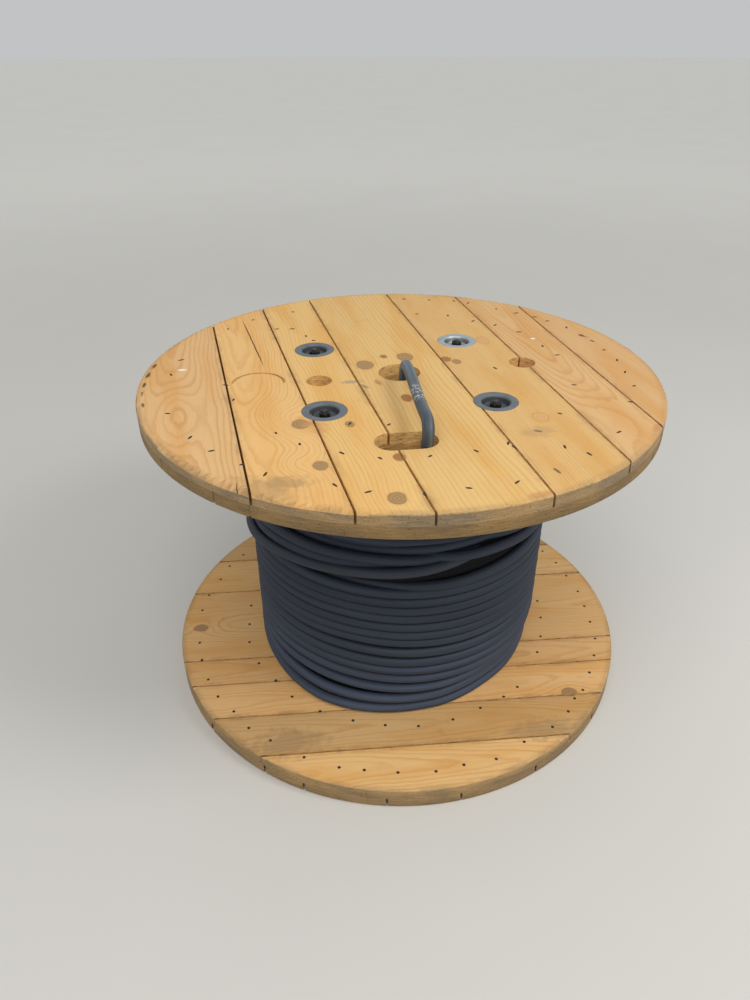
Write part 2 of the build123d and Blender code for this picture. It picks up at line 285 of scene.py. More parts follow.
def lathe(profile: Array, centre: tuple[float, float], steps: int, closed: bool = True) -> Surface:
    """Turned surface round an upright axis.

    Formula: each profile point (r, z) becomes (r cos a, r sin a, z) for the angles a of a circle.
    The profile runs anticlockwise, out along the underside and up the outside.

    Args:
        profile: points of radius and height.
        centre: the axis in plan.
        steps: number of points round it.
        closed: whether the profile closes on itself.

    Returns:
        The surface.
    """
    turn = circle(steps)
    radius, height = profile[:, :1], profile[:, 1:]
    points = np.stack(
        [
            centre[0] + radius * np.cos(turn),
            centre[1] + radius * np.sin(turn),
            np.broadcast_to(height, (len(profile), steps)),
        ],
        axis=-1,
    )
    lengths = np.linalg.norm(np.diff(profile, axis=0, append=profile[:1]), axis=1)
    return Surface.grid(points, np.concatenate([[0.0], np.cumsum(lengths)]), rows_closed=closed)


def softened(profile: Array, rounds: int = 2, share: float = 0.25) -> Array:
    """Closed profile with its corners cut.

    Formula: each side keeps its two points at a share from its ends, and this is done again.
    """
    for _ in range(rounds):
        after = np.roll(profile, -1, axis=0)
        step = share * (after - profile)
        profile = np.stack([profile + step, after - step], axis=1).reshape(-1, 2)
    return profile


def arithmetic(operation: str) -> Callable[..., "Term"]:
    """Method of a term that adds one step of arithmetic, with another value where it takes two."""

    def step(term: "Term", other: Value = 0.5) -> "Term":
        """One step of that arithmetic."""
        return term.recipe.math(operation, term, other)

    return step


class Term:
    """A node's output, with arithmetic: each step adds a node to the tree of its recipe."""

    __add__ = arithmetic("ADD")
    __sub__ = arithmetic("SUBTRACT")
    __mul__ = arithmetic("MULTIPLY")
    __truediv__ = arithmetic("DIVIDE")
    root = arithmetic("SQRT")
    size = arithmetic("ABSOLUTE")
    sine = arithmetic("SINE")
    cosine = arithmetic("COSINE")
    exponent = arithmetic("EXPONENT")
    whole = arithmetic("FLOOR")
    fraction = arithmetic("FRACT")
    smaller = arithmetic("MINIMUM")
    larger = arithmetic("MAXIMUM")
    angle = arithmetic("ARCTAN2")

    def __init__(self, recipe: "Recipe", socket: Socket) -> None:
        """Takes the recipe and the output."""
        self.recipe = recipe
        self.socket = socket

    def __rsub__(self, other: float) -> "Term":
        """A number less this value."""
        return self.recipe.math("SUBTRACT", other, self)

    def fade(self, low: float, high: float, start: float = 0.0, end: float = 1.0) -> "Term":
        """Smooth step from start, at low, to end, at high."""
        inputs = {0: self, 1: low, 2: high, 3: start, 4: end}
        return self.recipe.add("ShaderNodeMapRange", inputs, interpolation_type="SMOOTHSTEP")

    def split(self) -> list["Term"]:
        """The three parts of a vector."""
        node = self.recipe.node("ShaderNodeSeparateXYZ", {0: self})
        return [Term(self.recipe, socket) for socket in node.outputs]

    def along(self, direction: tuple[float, float, float]) -> "Term":
        """Length of a vector's part along a direction."""
        inputs = {0: self, 1: direction}
        return self.recipe.add("ShaderNodeVectorMath", inputs, "Value", operation="DOT_PRODUCT")

    def noise(self, scale: float, detail: float = 3.0, rough: float = 0.55) -> "Term":
        """Soft noise from 0 to 1 at this place."""
        inputs = {"Vector": self, "Scale": scale, "Detail": detail, "Roughness": rough}
        return self.recipe.add("ShaderNodeTexNoise", inputs)


class Recipe:
    """Node tree of one material, with short calls for the steps that the finishes share."""

    def __init__(self, name: str) -> None:
        """New material with its shader."""
        self.material = bpy.data.materials.new(name)
        self.material.use_nodes = True
        self.nodes = self.material.node_tree.nodes
        self.links = self.material.node_tree.links
        self.shader = self.nodes["Principled BSDF"]
        self.place = self.add("ShaderNodeTexCoord", output="Object")

    def node(self, kind: str, inputs: Inputs | None = None, **settings: object) -> bpy.types.Node:
        """New node with its settings and its inputs, each a value or another node's output."""
        node = self.nodes.new(kind)
        for name, setting in settings.items():
            setattr(node, name, setting)
        for name, value in (inputs or {}).items():
            self.feed(node.inputs[name], value)
        return node

    def add(
        self, kind: str, inputs: Inputs | None = None, output: int | str = 0, **settings: object
    ) -> Term:
        """One output of a new node."""
        return Term(self, self.node(kind, inputs, **settings).outputs[output])

    def feed(self, target: Socket, value: object) -> None:
        """Join a node's output to a socket, or put a value on it, with alpha for a colour."""
        if isinstance(value, Term):
            self.links.new(value.socket, target)
        else:
            target.default_value = (*value, 1.0) if target.type == "RGBA" else value

    def math(self, operation: str, first: Value, second: Value, held: bool = False) -> Term:
        """One step of arithmetic, held in 0 to 1 or not."""
        inputs = {0: first, 1: second}
        return self.add("ShaderNodeMath", inputs, operation=operation, use_clamp=held)

    def vector(self, x: Value, y: Value, z: Value) -> Term:
        """Vector of three values."""
        return self.add("ShaderNodeCombineXYZ", {0: x, 1: y, 2: z})

    def blend(self, share: Value, first: Tone, second: Tone, kind: str = "MIX") -> Term:
        """Mix of two colours."""
        inputs = {0: share, 6: first, 7: second}
        return self.add("ShaderNodeMix", inputs, 2, data_type="RGBA", blend_type=kind)

    def times(self, colour: Tone, value: Term) -> Term:
        """Colour made lighter or darker by a value."""
        grey = self.add("ShaderNodeCombineColor", {0: value, 1: value, 2: value})
        return self.blend(1.0, colour, grey, "MULTIPLY")

    def bump(self, height: Term, depth: float, strength: float) -> None:
        """Relief on the shader from a height of 0 to 1 and its depth in metres."""
        inputs = {"Height": height, "Strength": strength, "Distance": depth}
        self.feed(self.shader.inputs["Normal"], self.add("ShaderNodeBump", inputs))

    def finish(self, colour: Tone, rough: Value, **constants: float) -> bpy.types.Material:
        """Join colour and roughness to the shader and set its other values."""
        for name, value in {"Base_Color": colour, "Roughness": rough, **constants}.items():
            self.feed(self.shader.inputs[name.replace("_", " ")], value)
        return self.material


class KnotKind(Enum):
    """How a knot looks: its core colour, its outline, and how strongly they show."""

    GREY = (linear(170, 136, 90), linear(128, 98, 64), 0.7)
    RED = (linear(166, 114, 62), linear(124, 80, 42), 0.68)
    PALE = (linear(220, 174, 116), linear(186, 138, 86), 0.5)
    SWELL = (linear(230, 186, 120), linear(230, 186, 120), 0.0)


@dataclass(frozen=True)
class Knot:
    """A knot in a board's face: its place in plan, its size and how far it bends the grain."""

    x: float
    y: float
    radius: float
    kind: KnotKind
    stretch: float = 1.35
    push: float = 0.012
    reach: float = 2.6

    @classmethod
    def rows(cls, *rows: tuple) -> tuple["Knot", ...]:
        """Knots of rows whose first three values, place and radius, are in millimetres."""
        return tuple(cls(x / 1000, y / 1000, size / 1000, *rest) for x, y, size, *rest in rows)


@dataclass(frozen=True)
class Stain:
    """A soft-edged mark on a board's face: dirt, resin, a bruise, or a fleck of plaster."""

    x: float
    y: float
    radius: float
    colour: Colour
    share: float
    stretch: float
    turn: float
    ragged: float = 0.9

    @classmethod
    def rows(cls, *rows: tuple) -> tuple["Stain", ...]:
        """Stains of rows with place and radius in millimetres, then a colour of 0 to 255."""
        return tuple(
            cls(x / 1000, y / 1000, size / 1000, linear(*colour), *rest)
            for x, y, size, colour, *rest in rows
        )


@dataclass(frozen=True)
class Crack:
    """A drying crack along the grain, from one plan point to another."""

    start: tuple[float, float]
    end: tuple[float, float]
    width: float = 0.0012


@dataclass(frozen=True)
class Arc:
    """Painted shade along a hole saw's shallow cut: a soft dark half ring round a plan point,
    turned by an angle.
    """

    x: float
    y: float
    radius: float
    width: float
    turn: float


@dataclass(frozen=True)
class Marks:
    """What lies on a layer's open face, in plan."""

    knots: tuple[Knot, ...] = ()
    cracks: tuple[Crack, ...] = ()
    stains: tuple[Stain, ...] = ()
    arcs: tuple[Arc, ...] = ()


@dataclass(frozen=True)
class Layer:
    """One layer of a flange: the direction of its grain, the edges of its boards, its marks."""

    name: str
    grain: float
    joints: tuple[float, ...]
    bottom: float
    turns: tuple[float, ...] = ()
    marks: Marks = Marks()

    def near(self, number: int, x: float, y: float, margin: float) -> bool:
        """Whether a plan place lies on board number, or within a margin of it."""
        low, high = self.edges(number)
        return low - margin < self.turned(x, y)[1] < high + margin

    def turned(self, x: float, y: float) -> tuple[float, float]:
        """A plan place as its distances along the grain and across it."""
        ahead, across = self.ahead(), self.across()
        return x * ahead[0] + y * ahead[1], x * across[0] + y * across[1]

    def across(self) -> tuple[float, float, float]:
        """Direction square to the grain, in plan."""
        return (-math.sin(math.radians(self.grain)), math.cos(math.radians(self.grain)), 0.0)

    def ahead(self) -> tuple[float, float, float]:
        """Direction of the grain."""
        return (math.cos(math.radians(self.grain)), math.sin(math.radians(self.grain)), 0.0)

    def edges(self, number: int) -> tuple[float, float]:
        """The two edges of board number, counted from 1, across the grain."""
        shares = (-1.0, *self.joints, 1.0)
        return shares[number - 1] * SIZES.flange_radius, shares[number] * SIZES.flange_radius

    def slopes(self, number: int) -> tuple[float, float]:
        """How far each of those edges moves across the grain per metre along it."""
        turns = (0.0, *(self.turns or [0.0] * len(self.joints)), 0.0)
        return math.tan(math.radians(turns[number - 1])), math.tan(math.radians(turns[number]))


@dataclass(frozen=True)
class BoardLook:
    """How one board differs from the next.

    pith is the place of the tree's middle across the board, as a share of its width from its low
    edge, depth how far it lies under the face, lean how fast it comes nearer along the board.
    """

    tone: Colour
    pith: float = 0.5
    depth: float = 0.05
    lean: float = 0.03
    pitch: float = 0.0048
    contrast: float = 0.5


class BoardPlace:
    """Coordinates on a board: along and across its grain, in plan, in height and from the axis."""

    def __init__(self, sheet: Recipe, layer: Layer) -> None:
        """Takes the board's recipe, and its layer for the direction of its grain."""
        self.sheet = sheet
        self.u = sheet.place.along(layer.ahead())
        self.v = sheet.place.along(layer.across())
        self.x, self.y, self.z = sheet.place.split()
        self.out = (self.x * self.x + self.y * self.y).root()
        self.ragged = sheet.place.noise(60.0, 3.0)

    def drawn_out(self, along: float, across: float, seed: float, detail: float) -> Term:
        """Noise with one scale along the grain and another across it."""
        return self.sheet.vector(self.u * along, self.v * across, seed).noise(1.0, detail)


@dataclass(frozen=True)
class PineFinish:
    """Sawn pine: rings, fibres, knots, cracks, painted shade at a saw cut, and a weathered rim,
    holes and joints.

    Formula of the rings: the distance from a slowly wandering middle line, warped by noise and
    pushed aside round each knot, over the ring pitch. Each ring darkens slowly and ends sharply.
    """

    rim: Colour = linear(186, 152, 104)
    rim_grey: Colour = linear(144, 127, 102)
    rim_end_grain: Colour = linear(150, 122, 84)
    wall: Colour = linear(216, 164, 98)
    dirt: Colour = linear(140, 114, 80)
    arc_painted_shade: Colour = linear(138, 97, 57)
    gap: Colour = linear(52, 34, 20)

    def material(
        self, name: str, layer: Layer, number: int, look: BoardLook
    ) -> bpy.types.Material:
        """Material of one board.

        Args:
            name: the material's name, whose letters also place its noise.
            layer: the layer that the board lies in.
            number: the board's number in its layer.
            look: what sets the board apart from the next.

        Returns:
            The material.
        """
        sheet = Recipe(name)
        at = BoardPlace(sheet, layer)
        knots = [
            (knot, self.knot_square(at, layer, knot))
            for knot in layer.marks.knots
            if layer.near(number, knot.x, knot.y, 0.03)
        ]
        seed = float(sum(ord(letter) for letter in name) % 97)
        late = self.late_wood(at, layer, number, look, knots, seed)
        fibre = sheet.vector(at.u * 14.0, at.v * 520.0, at.z * 520.0).noise(1.0, 4.0, 0.6)
        darker = tuple(channel * share for channel, share in zip(look.tone, (0.78, 0.62, 0.42)))
        warmer = tuple(channel * share for channel, share in zip(look.tone, (0.95, 0.84, 0.66)))
        broad = at.drawn_out(3.0, 17.0, seed, 4.0)
        colour = sheet.blend(broad.fade(0.42, 0.68), look.tone, warmer)
        colour = sheet.blend(late * look.contrast, colour, darker)
        colour = sheet.times(colour, fibre * 0.16 + 0.92)
        for knot, square in knots:
            colour = self.knotted(at, knot, square, colour, darker)
        gaps = [
            self.crack(at, layer, crack)
            for crack in layer.marks.cracks
            if layer.near(number, *crack.start, 0.0)
        ]
        masks = [
            (self.stain(at, stain), stain.colour)
            for stain in layer.marks.stains
            if layer.near(number, stain.x, stain.y, stain.radius)
        ]
        # Painted shade along the hole saw's cut.
        masks += [
            (self.arc(at, arc), self.arc_painted_shade)
            for arc in layer.marks.arcs
            if layer.near(number, arc.x, arc.y, 0.0)
        ]
        masks += [(gap, self.gap) for gap in gaps]
        masks.append((self.soil(at, layer, number), self.dirt))
        for mask, tone in masks:
            colour = sheet.blend(mask, colour, tone)
        normal = sheet.add("ShaderNodeNewGeometry", output="Normal")
        edge = normal.split()[2].size().fade(0.35, 0.8, 1.0, 0.0)
        end_grain = normal.along(layer.ahead()).size()
        colour = sheet.blend(edge, colour, self.cut_face(at, end_grain, look.tone))
        height = fibre * 0.5 + late * 0.3 + edge * sheet.place.noise(240.0, 4.0) * 1.6
        for gap in gaps:
            height = height - gap
        sheet.bump(height, 0.0007, 0.9)
        return sheet.finish(colour, fibre * 0.2 + 0.6, Specular_IOR_Level=0.35)

    def late_wood(
        self,
        at: BoardPlace,
        layer: Layer,
        number: int,
        look: BoardLook,
        knots: list[tuple[Knot, Term]],
        seed: float,
    ) -> Term:
        """Mask of the dark part of each ring, stronger in some rings than in others."""
        low, high = layer.edges(number)
        wander = at.drawn_out(2.2, 3.0, seed, 2.0) * 0.05 - 0.025
        side = at.v - (low + (high - low) * look.pith) + wander
        deep = (layer.bottom + SIZES.board) - at.z + at.u * look.lean + look.depth
        for knot, square in knots:
            deep = deep + (square * (-1.0 / knot.reach**2)).exponent() * knot.push
        reach = (side * side + deep * deep).root()
        warp = at.drawn_out(5.0, 26.0, seed, 3.0) * 0.008
        frayed = at.drawn_out(45.0, 110.0, seed, 2.0) * 0.0022
        count = (reach + warp + frayed) / look.pitch
        ring = count.fraction()
        inputs = {"W": count.whole()}
        each = at.sheet.add("ShaderNodeTexWhiteNoise", inputs, noise_dimensions="1D")
        return ring.fade(0.45, 0.86) * ring.fade(0.9, 1.0, 1.0, 0.0) * (each * 0.7 + 0.45)

    def knot_square(self, at: BoardPlace, layer: Layer, knot: Knot) -> Term:
        """Square of the distance from a knot's middle, 1 on its outline."""
        along, aside = layer.turned(knot.x, knot.y)
        du = (at.u - along) / (knot.radius * knot.stretch)
        dv = (at.v - aside) / knot.radius
        return du * du + dv * dv

    def knotted(
        self, at: BoardPlace, knot: Knot, square: Term, colour: Term, halo: Colour
    ) -> Term:
        """Colour with a knot on it: a halo, an outline, and a core with faint rings."""
        core, line, share = knot.kind.value
        if not share:
            return colour
        sheet = at.sheet
        off = (at.ragged - 0.5) * 0.4 + square.root()
        colour = sheet.blend(off.fade(1.0, knot.reach * 0.6, 0.3 * share, 0.0), colour, halo)
        colour = sheet.blend(off.fade(0.92, 1.14, share, 0.0), colour, line)
        inside = sheet.blend((off * 17.0).sine() * 0.28 + 0.24, core, line)
        return sheet.blend(off.fade(0.72, 0.95, share + 0.1, 0.0), colour, inside)

    def stain(self, at: BoardPlace, stain: Stain) -> Term:
        """Mask of a stain: an oval in plan whose edge noise breaks up."""
        cosine, sine = math.cos(math.radians(stain.turn)), math.sin(math.radians(stain.turn))
        length = stain.radius * stain.stretch
        offset = at.sheet.vector(at.x - stain.x, at.y - stain.y, 0.0)
        p = offset.along((cosine / length, sine / length, 0.0))
        q = offset.along((-sine / stain.radius, cosine / stain.radius, 0.0))
        broken = (at.ragged - 0.5) * (2 * stain.ragged) + (p * p + q * q).root()
        return broken.fade(0.4, 1.25, stain.share, 0.0)

    def arc(self, at: BoardPlace, arc: Arc) -> Term:
        """Mask of the painted shade along a half ring: near its radius, and on the side it is
        turned to.
        """
        dx, dy = at.x - arc.x, at.y - arc.y
        off = ((dx * dx + dy * dy).root() - arc.radius).size() + at.ragged * 0.004
        band = off.fade(arc.width * 0.5 + 0.001, arc.width + 0.002, 0.85, 0.0)
        turn = math.radians(arc.turn)
        side = at.sheet.vector(dx, dy, 0.0).along((-math.sin(turn), math.cos(turn), 0.0))
        return band * side.fade(-0.004, 0.022)

    def crack(self, at: BoardPlace, layer: Layer, crack: Crack) -> Term:
        """Mask of a crack: near the line between its ends, narrowing towards them, and ragged."""
        (u0, v0), (u1, v1) = sorted(layer.turned(*end) for end in (crack.start, crack.end))
        slope = (v1 - v0) / (u1 - u0)
        ragged = at.sheet.vector(at.u, 0.0, 0.0).noise(90.0, 3.0) * 0.005 - 0.0025
        off = (at.v - (at.u * slope + (v0 - slope * u0)) + ragged).size()
        share = (at.u - u0) / (u1 - u0)
        width = share.fade(0.0, 0.35) * share.fade(0.75, 1.0, 1.0, 0.0) * crack.width
        return at.sheet.math("DIVIDE", width - off, crack.width * 0.4, held=True) * 0.92

    def soil(self, at: BoardPlace, layer: Layer, number: int) -> Term:
        """Mask of the dirt along the joints, on the worn rim, and in smears between."""
        (low, high), (low_slope, high_slope) = layer.edges(number), layer.slopes(number)
        from_low = at.v - (at.u * low_slope + low)
        to_edge = from_low.smaller(at.u * high_slope + high - at.v)
        smear = at.sheet.place.noise(16.0, 5.0, 0.65)
        joints = to_edge.fade(0.002, 0.014, 0.55, 0.0) * smear.fade(0.4, 0.7)
        worn = at.out.fade(0.484, 0.5) * smear.fade(0.35, 0.62, 0.1, 0.5)
        return joints.larger(worn).larger(smear.fade(0.62, 0.8, 0.0, 0.35))

    def cut_face(self, at: BoardPlace, end_grain: Term, tone: Colour) -> Term:
        """Colour of the sawn edges: the weathered rim, and the cleaner walls of holes and joints.

        Formula: streaks are noise over the arc along the rim and a much finer height, and the rim
        is greyer the more it faces along the grain.
        """
        sheet = at.sheet
        arc = at.y.angle(at.x) * 0.5
        streaks = sheet.vector(arc * 30.0, at.z * 520.0, 3.0).noise(1.0, 5.0, 0.7)
        patches = sheet.vector(arc * 9.0, at.z * 30.0, 7.0).noise(1.0, 4.0)
        rim = sheet.blend(patches.fade(0.35, 0.65), self.rim, self.rim_grey)
        rim = sheet.blend(end_grain * 0.3, rim, self.rim_end_grain)
        rim = sheet.times(rim, streaks.fade(0.3, 0.7, 0.68, 1.12))
        rim = sheet.times(rim, sheet.place.noise(300.0, 2.0, 0.5).fade(0.28, 0.42, 0.6, 1.0))
        fissures = sheet.vector(at.x * 70.0, at.y * 70.0, at.z * 260.0).noise(1.0, 5.0, 0.7)
        wall_tone = tuple((a + b) / 2 for a, b in zip(self.wall, tone))
        wall = sheet.times(wall_tone, fissures.fade(0.3, 0.56, 0.5, 1.12))
        return sheet.blend(at.out.fade(0.488, 0.494), wall, rim)


@dataclass(frozen=True)
class SteelFinish:
    """Pressed or turned steel: base colour, darker stains, fine scratches, gloss, a thread's pitch.

    shaded is painted shade inside a dish below the upper flange's face; its floor is painted
    lighter.
    """

    base: Colour
    stain: Colour
    gloss: float
    stained: float = 0.5
    metal: float = 0.9
    thread: float = 0.0
    shaded: float = 1.0

    def material(self, name: str) -> bpy.types.Material:
        """Material of this steel."""
        sheet = Recipe(name)
        cloud = sheet.place.noise(55.0, 5.0, 0.65)
        grit = sheet.place.noise(900.0, 3.0, 0.6)
        share = cloud.fade(0.62 - 0.3 * self.stained, 0.75, 0.0, 0.85)
        colour = sheet.times(sheet.blend(share, self.base, self.stain), grit * 0.3 + 0.85)
        height = grit * 0.25 + cloud * 0.3
        if self.shaded < 1:
            z = sheet.place.split()[2]
            # Painted shade on the dish's walls, and painted light that makes its floor 3.1 times
            # lighter.
            for low, high, start in ((0.005, 0.0004, self.shaded), (0.0125, 0.009, 3.1)):
                colour = sheet.times(colour, z.fade(SIZES.top - low, SIZES.top - high, start, 1.0))
        if self.thread:
            z = sheet.place.split()[2]
            height = (z * (2 * math.pi / self.thread)).sine() * 1.2 + height
        sheet.bump(height, 0.0004, 0.8)
        return sheet.finish(colour, cloud * 0.25 + self.gloss, Metallic=self.metal)


@dataclass(frozen=True)
class SheathFinish:
    """Cable sheath: dark plastic with a dull shine, dust, and rubbed marks along the cable.

    Formula: noise over the piece's UV, in which U is metres along the cable and V a share of the
    way round, drawn out along the cable for the rubbed marks. scuffed_at is the middle and half
    the length, along y, of a pale patch, and with it the colour also runs from darker at y = -0.3
    to lighter at y = 0. The outer turns' sheath can also take painted light and shade by height:
    lighter on the lowest turns, darker in the middle, and lighter again near the top.
    """

    base: Colour
    lighter: Colour
    rubbed: Colour
    rubbed_from: float
    gloss: float
    sheath_shaded_by_height: bool = False
    scuffed_at: tuple[float, float] | None = None

    def material(self, name: str) -> bpy.types.Material:
        """Material of this sheath."""
        sheet = Recipe(name)
        u, v, _ = sheet.add("ShaderNodeTexCoord", output="UV").split()
        turned = v * (2 * math.pi)
        round_x, round_y = turned.cosine(), turned.sine()
        broad = sheet.vector(u * 3.0, round_x, round_y).noise(1.3, 4.0, 0.6)
        streak = sheet.vector(u * 20.0, round_x * 5.0, round_y * 5.0).noise(1.0, 5.0, 0.7)
        fine = sheet.place.noise(700.0, 3.0, 0.6)
        scuffs = streak.fade(self.rubbed_from, self.rubbed_from + 0.14, 0.0, 0.8)
        colour = sheet.blend(broad.fade(0.35, 0.7), self.base, self.lighter)
        colour = sheet.blend(scuffs, colour, self.rubbed)
        if self.scuffed_at:
            middle, half = self.scuffed_at
            y = sheet.place.split()[1]
            broken = sheet.place.noise(210.0, 4.0, 0.7).fade(0.5, 0.62, 0.0, 0.85)
            patch = (y - middle).size().fade(half * 0.5, half, 1.0, 0.0) * broken
            colour = sheet.blend(patch, colour, linear(206, 205, 200))
            colour = sheet.times(colour, y.fade(-0.30, 0.0, 0.8, 1.42))
        colour = sheet.times(colour, fine * 0.24 + 0.88)
        # Painted light and shade by height: lighter low down, darker in the middle, lighter near
        # the top.
        if self.sheath_shaded_by_height:
            z = sheet.place.split()[2]
            colour = sheet.times(colour, z.fade(0.06, 0.27, 1.6, 0.8))
            colour = sheet.times(colour, z.fade(0.33, 0.42, 1.0, 1.22))
        sheet.bump(fine * 0.3 + streak * 0.4, 0.0004, 0.7)
        return sheet.finish(colour, scuffs * 0.3 + self.gloss, Specular_IOR_Level=0.3)


GREY, RED, PALE, SWELL = KnotKind
UPPER_MARKS = Marks(
    knots=Knot.rows(
        (-69, 34, 17, GREY), (10, 80, 16, GREY), (-34, 80, 7, RED), (16, -117, 10, RED, 1.6),
        (-164, -230, 15, GREY, 1.2, 0.03, 3.2), (-205, -185, 30, SWELL, 1.3, 0.03, 1.6),
        (-154, -366, 20, SWELL, 1.3, 0.02, 1.4), (-115, -370, 12, GREY, 1.2),
        (7, -337, 10, RED, 1.2), (7, -458, 14, GREY, 1.2), (-80, -226, 8, GREY, 1.4),
        (-67, -253, 12, SWELL, 2.0, 0.012), (93, 72, 10, RED), (114, 60, 9, GREY),
        (175.6, 178.2, 13, PALE, 1.6, 0.02, 3.0), (250, -185, 15, PALE, 1.2, 0.02, 3.0),
        (-382, -208, 18, SWELL, 3.4, 0.035, 2.2), (378, -180, 20, SWELL, 3.0, 0.03, 2.5),
    ),
    cracks=(
        Crack((-0.379, 0.322), (-0.262, -0.004), 0.0016),
        Crack((-0.236, -0.418), (-0.223, -0.481), 0.0012),
    ),
    stains=Stain.rows(
        (-429, -6, 4, (250, 248, 240), 1.0, 2.4, 10, 0.3),
        (284, 195, 3, (250, 248, 240), 1.0, 2.0, 10, 0.3),
        (-162, -423, 22, (150, 120, 85), 0.5, 1.8, 10),
        (-190, -440, 30, (172, 138, 92), 0.55, 2.0, -20),
        (-87, -50, 9, (140, 132, 116), 0.7, 2.4, 8), (-65, -70, 6, (132, 118, 98), 0.7, 2.6, -46),
        (-39, -50, 5, (160, 108, 56), 0.6, 3.0, -66),
        (158, -374, 12, (226, 174, 86), 0.3, 1.4, 0),
        (238, -240, 20, (172, 134, 90), 0.45, 1.8, 20),
        (249.5, -369.4, 3, (74, 62, 52), 0.8, 4.0, -62, 1.0),
        (238.3, -238.5, 3.5, (84, 72, 62), 0.7, 2.4, -20, 1.2),
        (392.9, 215.9, 4, (72, 60, 50), 0.7, 3.4, -40, 1.3),
        (220, -438, 10, (188, 126, 74), 0.55, 3.0, 25, 0.9),
        (443, -215, 8, (182, 120, 74), 0.55, 3.0, 62, 0.9),
        (-137, -240, 22, (206, 150, 84), 0.5, 1.6, -60),
        (-489, 10, 3.5, (46, 38, 30), 0.9, 4.0, 88, 1.0),
        (-488, -35, 3.5, (46, 38, 30), 0.9, 4.5, 95, 1.0),
        (-482, -78, 3.5, (46, 38, 30), 0.9, 4.0, 101, 1.0),
        (-474, -118, 3, (46, 38, 30), 0.85, 4.0, 106, 1.0),
        (-457, -168, 3, (46, 38, 30), 0.8, 4.0, 112, 1.0),
    ),
    arcs=(Arc(-0.267, -0.064, 0.0495, 0.0042, 4.0),),
)
LOWER_MARKS = Marks(
    knots=Knot.rows((372, -239, 12, GREY), (-452, -78, 12, GREY)),
    stains=Stain.rows(
        (-200, -400, 35, (146, 118, 84), 0.5, 2.2, 8), (300, -340, 30, (150, 122, 86), 0.45, 2.4, 8)
    ),
)
UPPER_OUTER = Layer(
    "upper_outer",
    -73.1,
    (-0.667, -0.407, -0.178, 0.2, 0.517, 0.754),
    0.636,
    (0.2, 1.2, 0.6, -0.2, -0.3, -1.3),
    UPPER_MARKS,
)
UPPER_INNER = Layer(
    "upper_inner", 16.9, (-0.74, -0.638, -0.39, -0.13, 0.13, 0.38, 0.62, 0.83), 0.614
)
LOWER_INNER = Layer(
    "lower_inner", 7.7, (-0.79, -0.588, -0.402, -0.252, 0.218, 0.472, 0.74), 0.022, (), LOWER_MARKS
)
LOWER_OUTER = Layer("lower_outer", 97.7, (-0.75, -0.45, -0.14, 0.14, 0.448, 0.598, 0.82), 0.0)


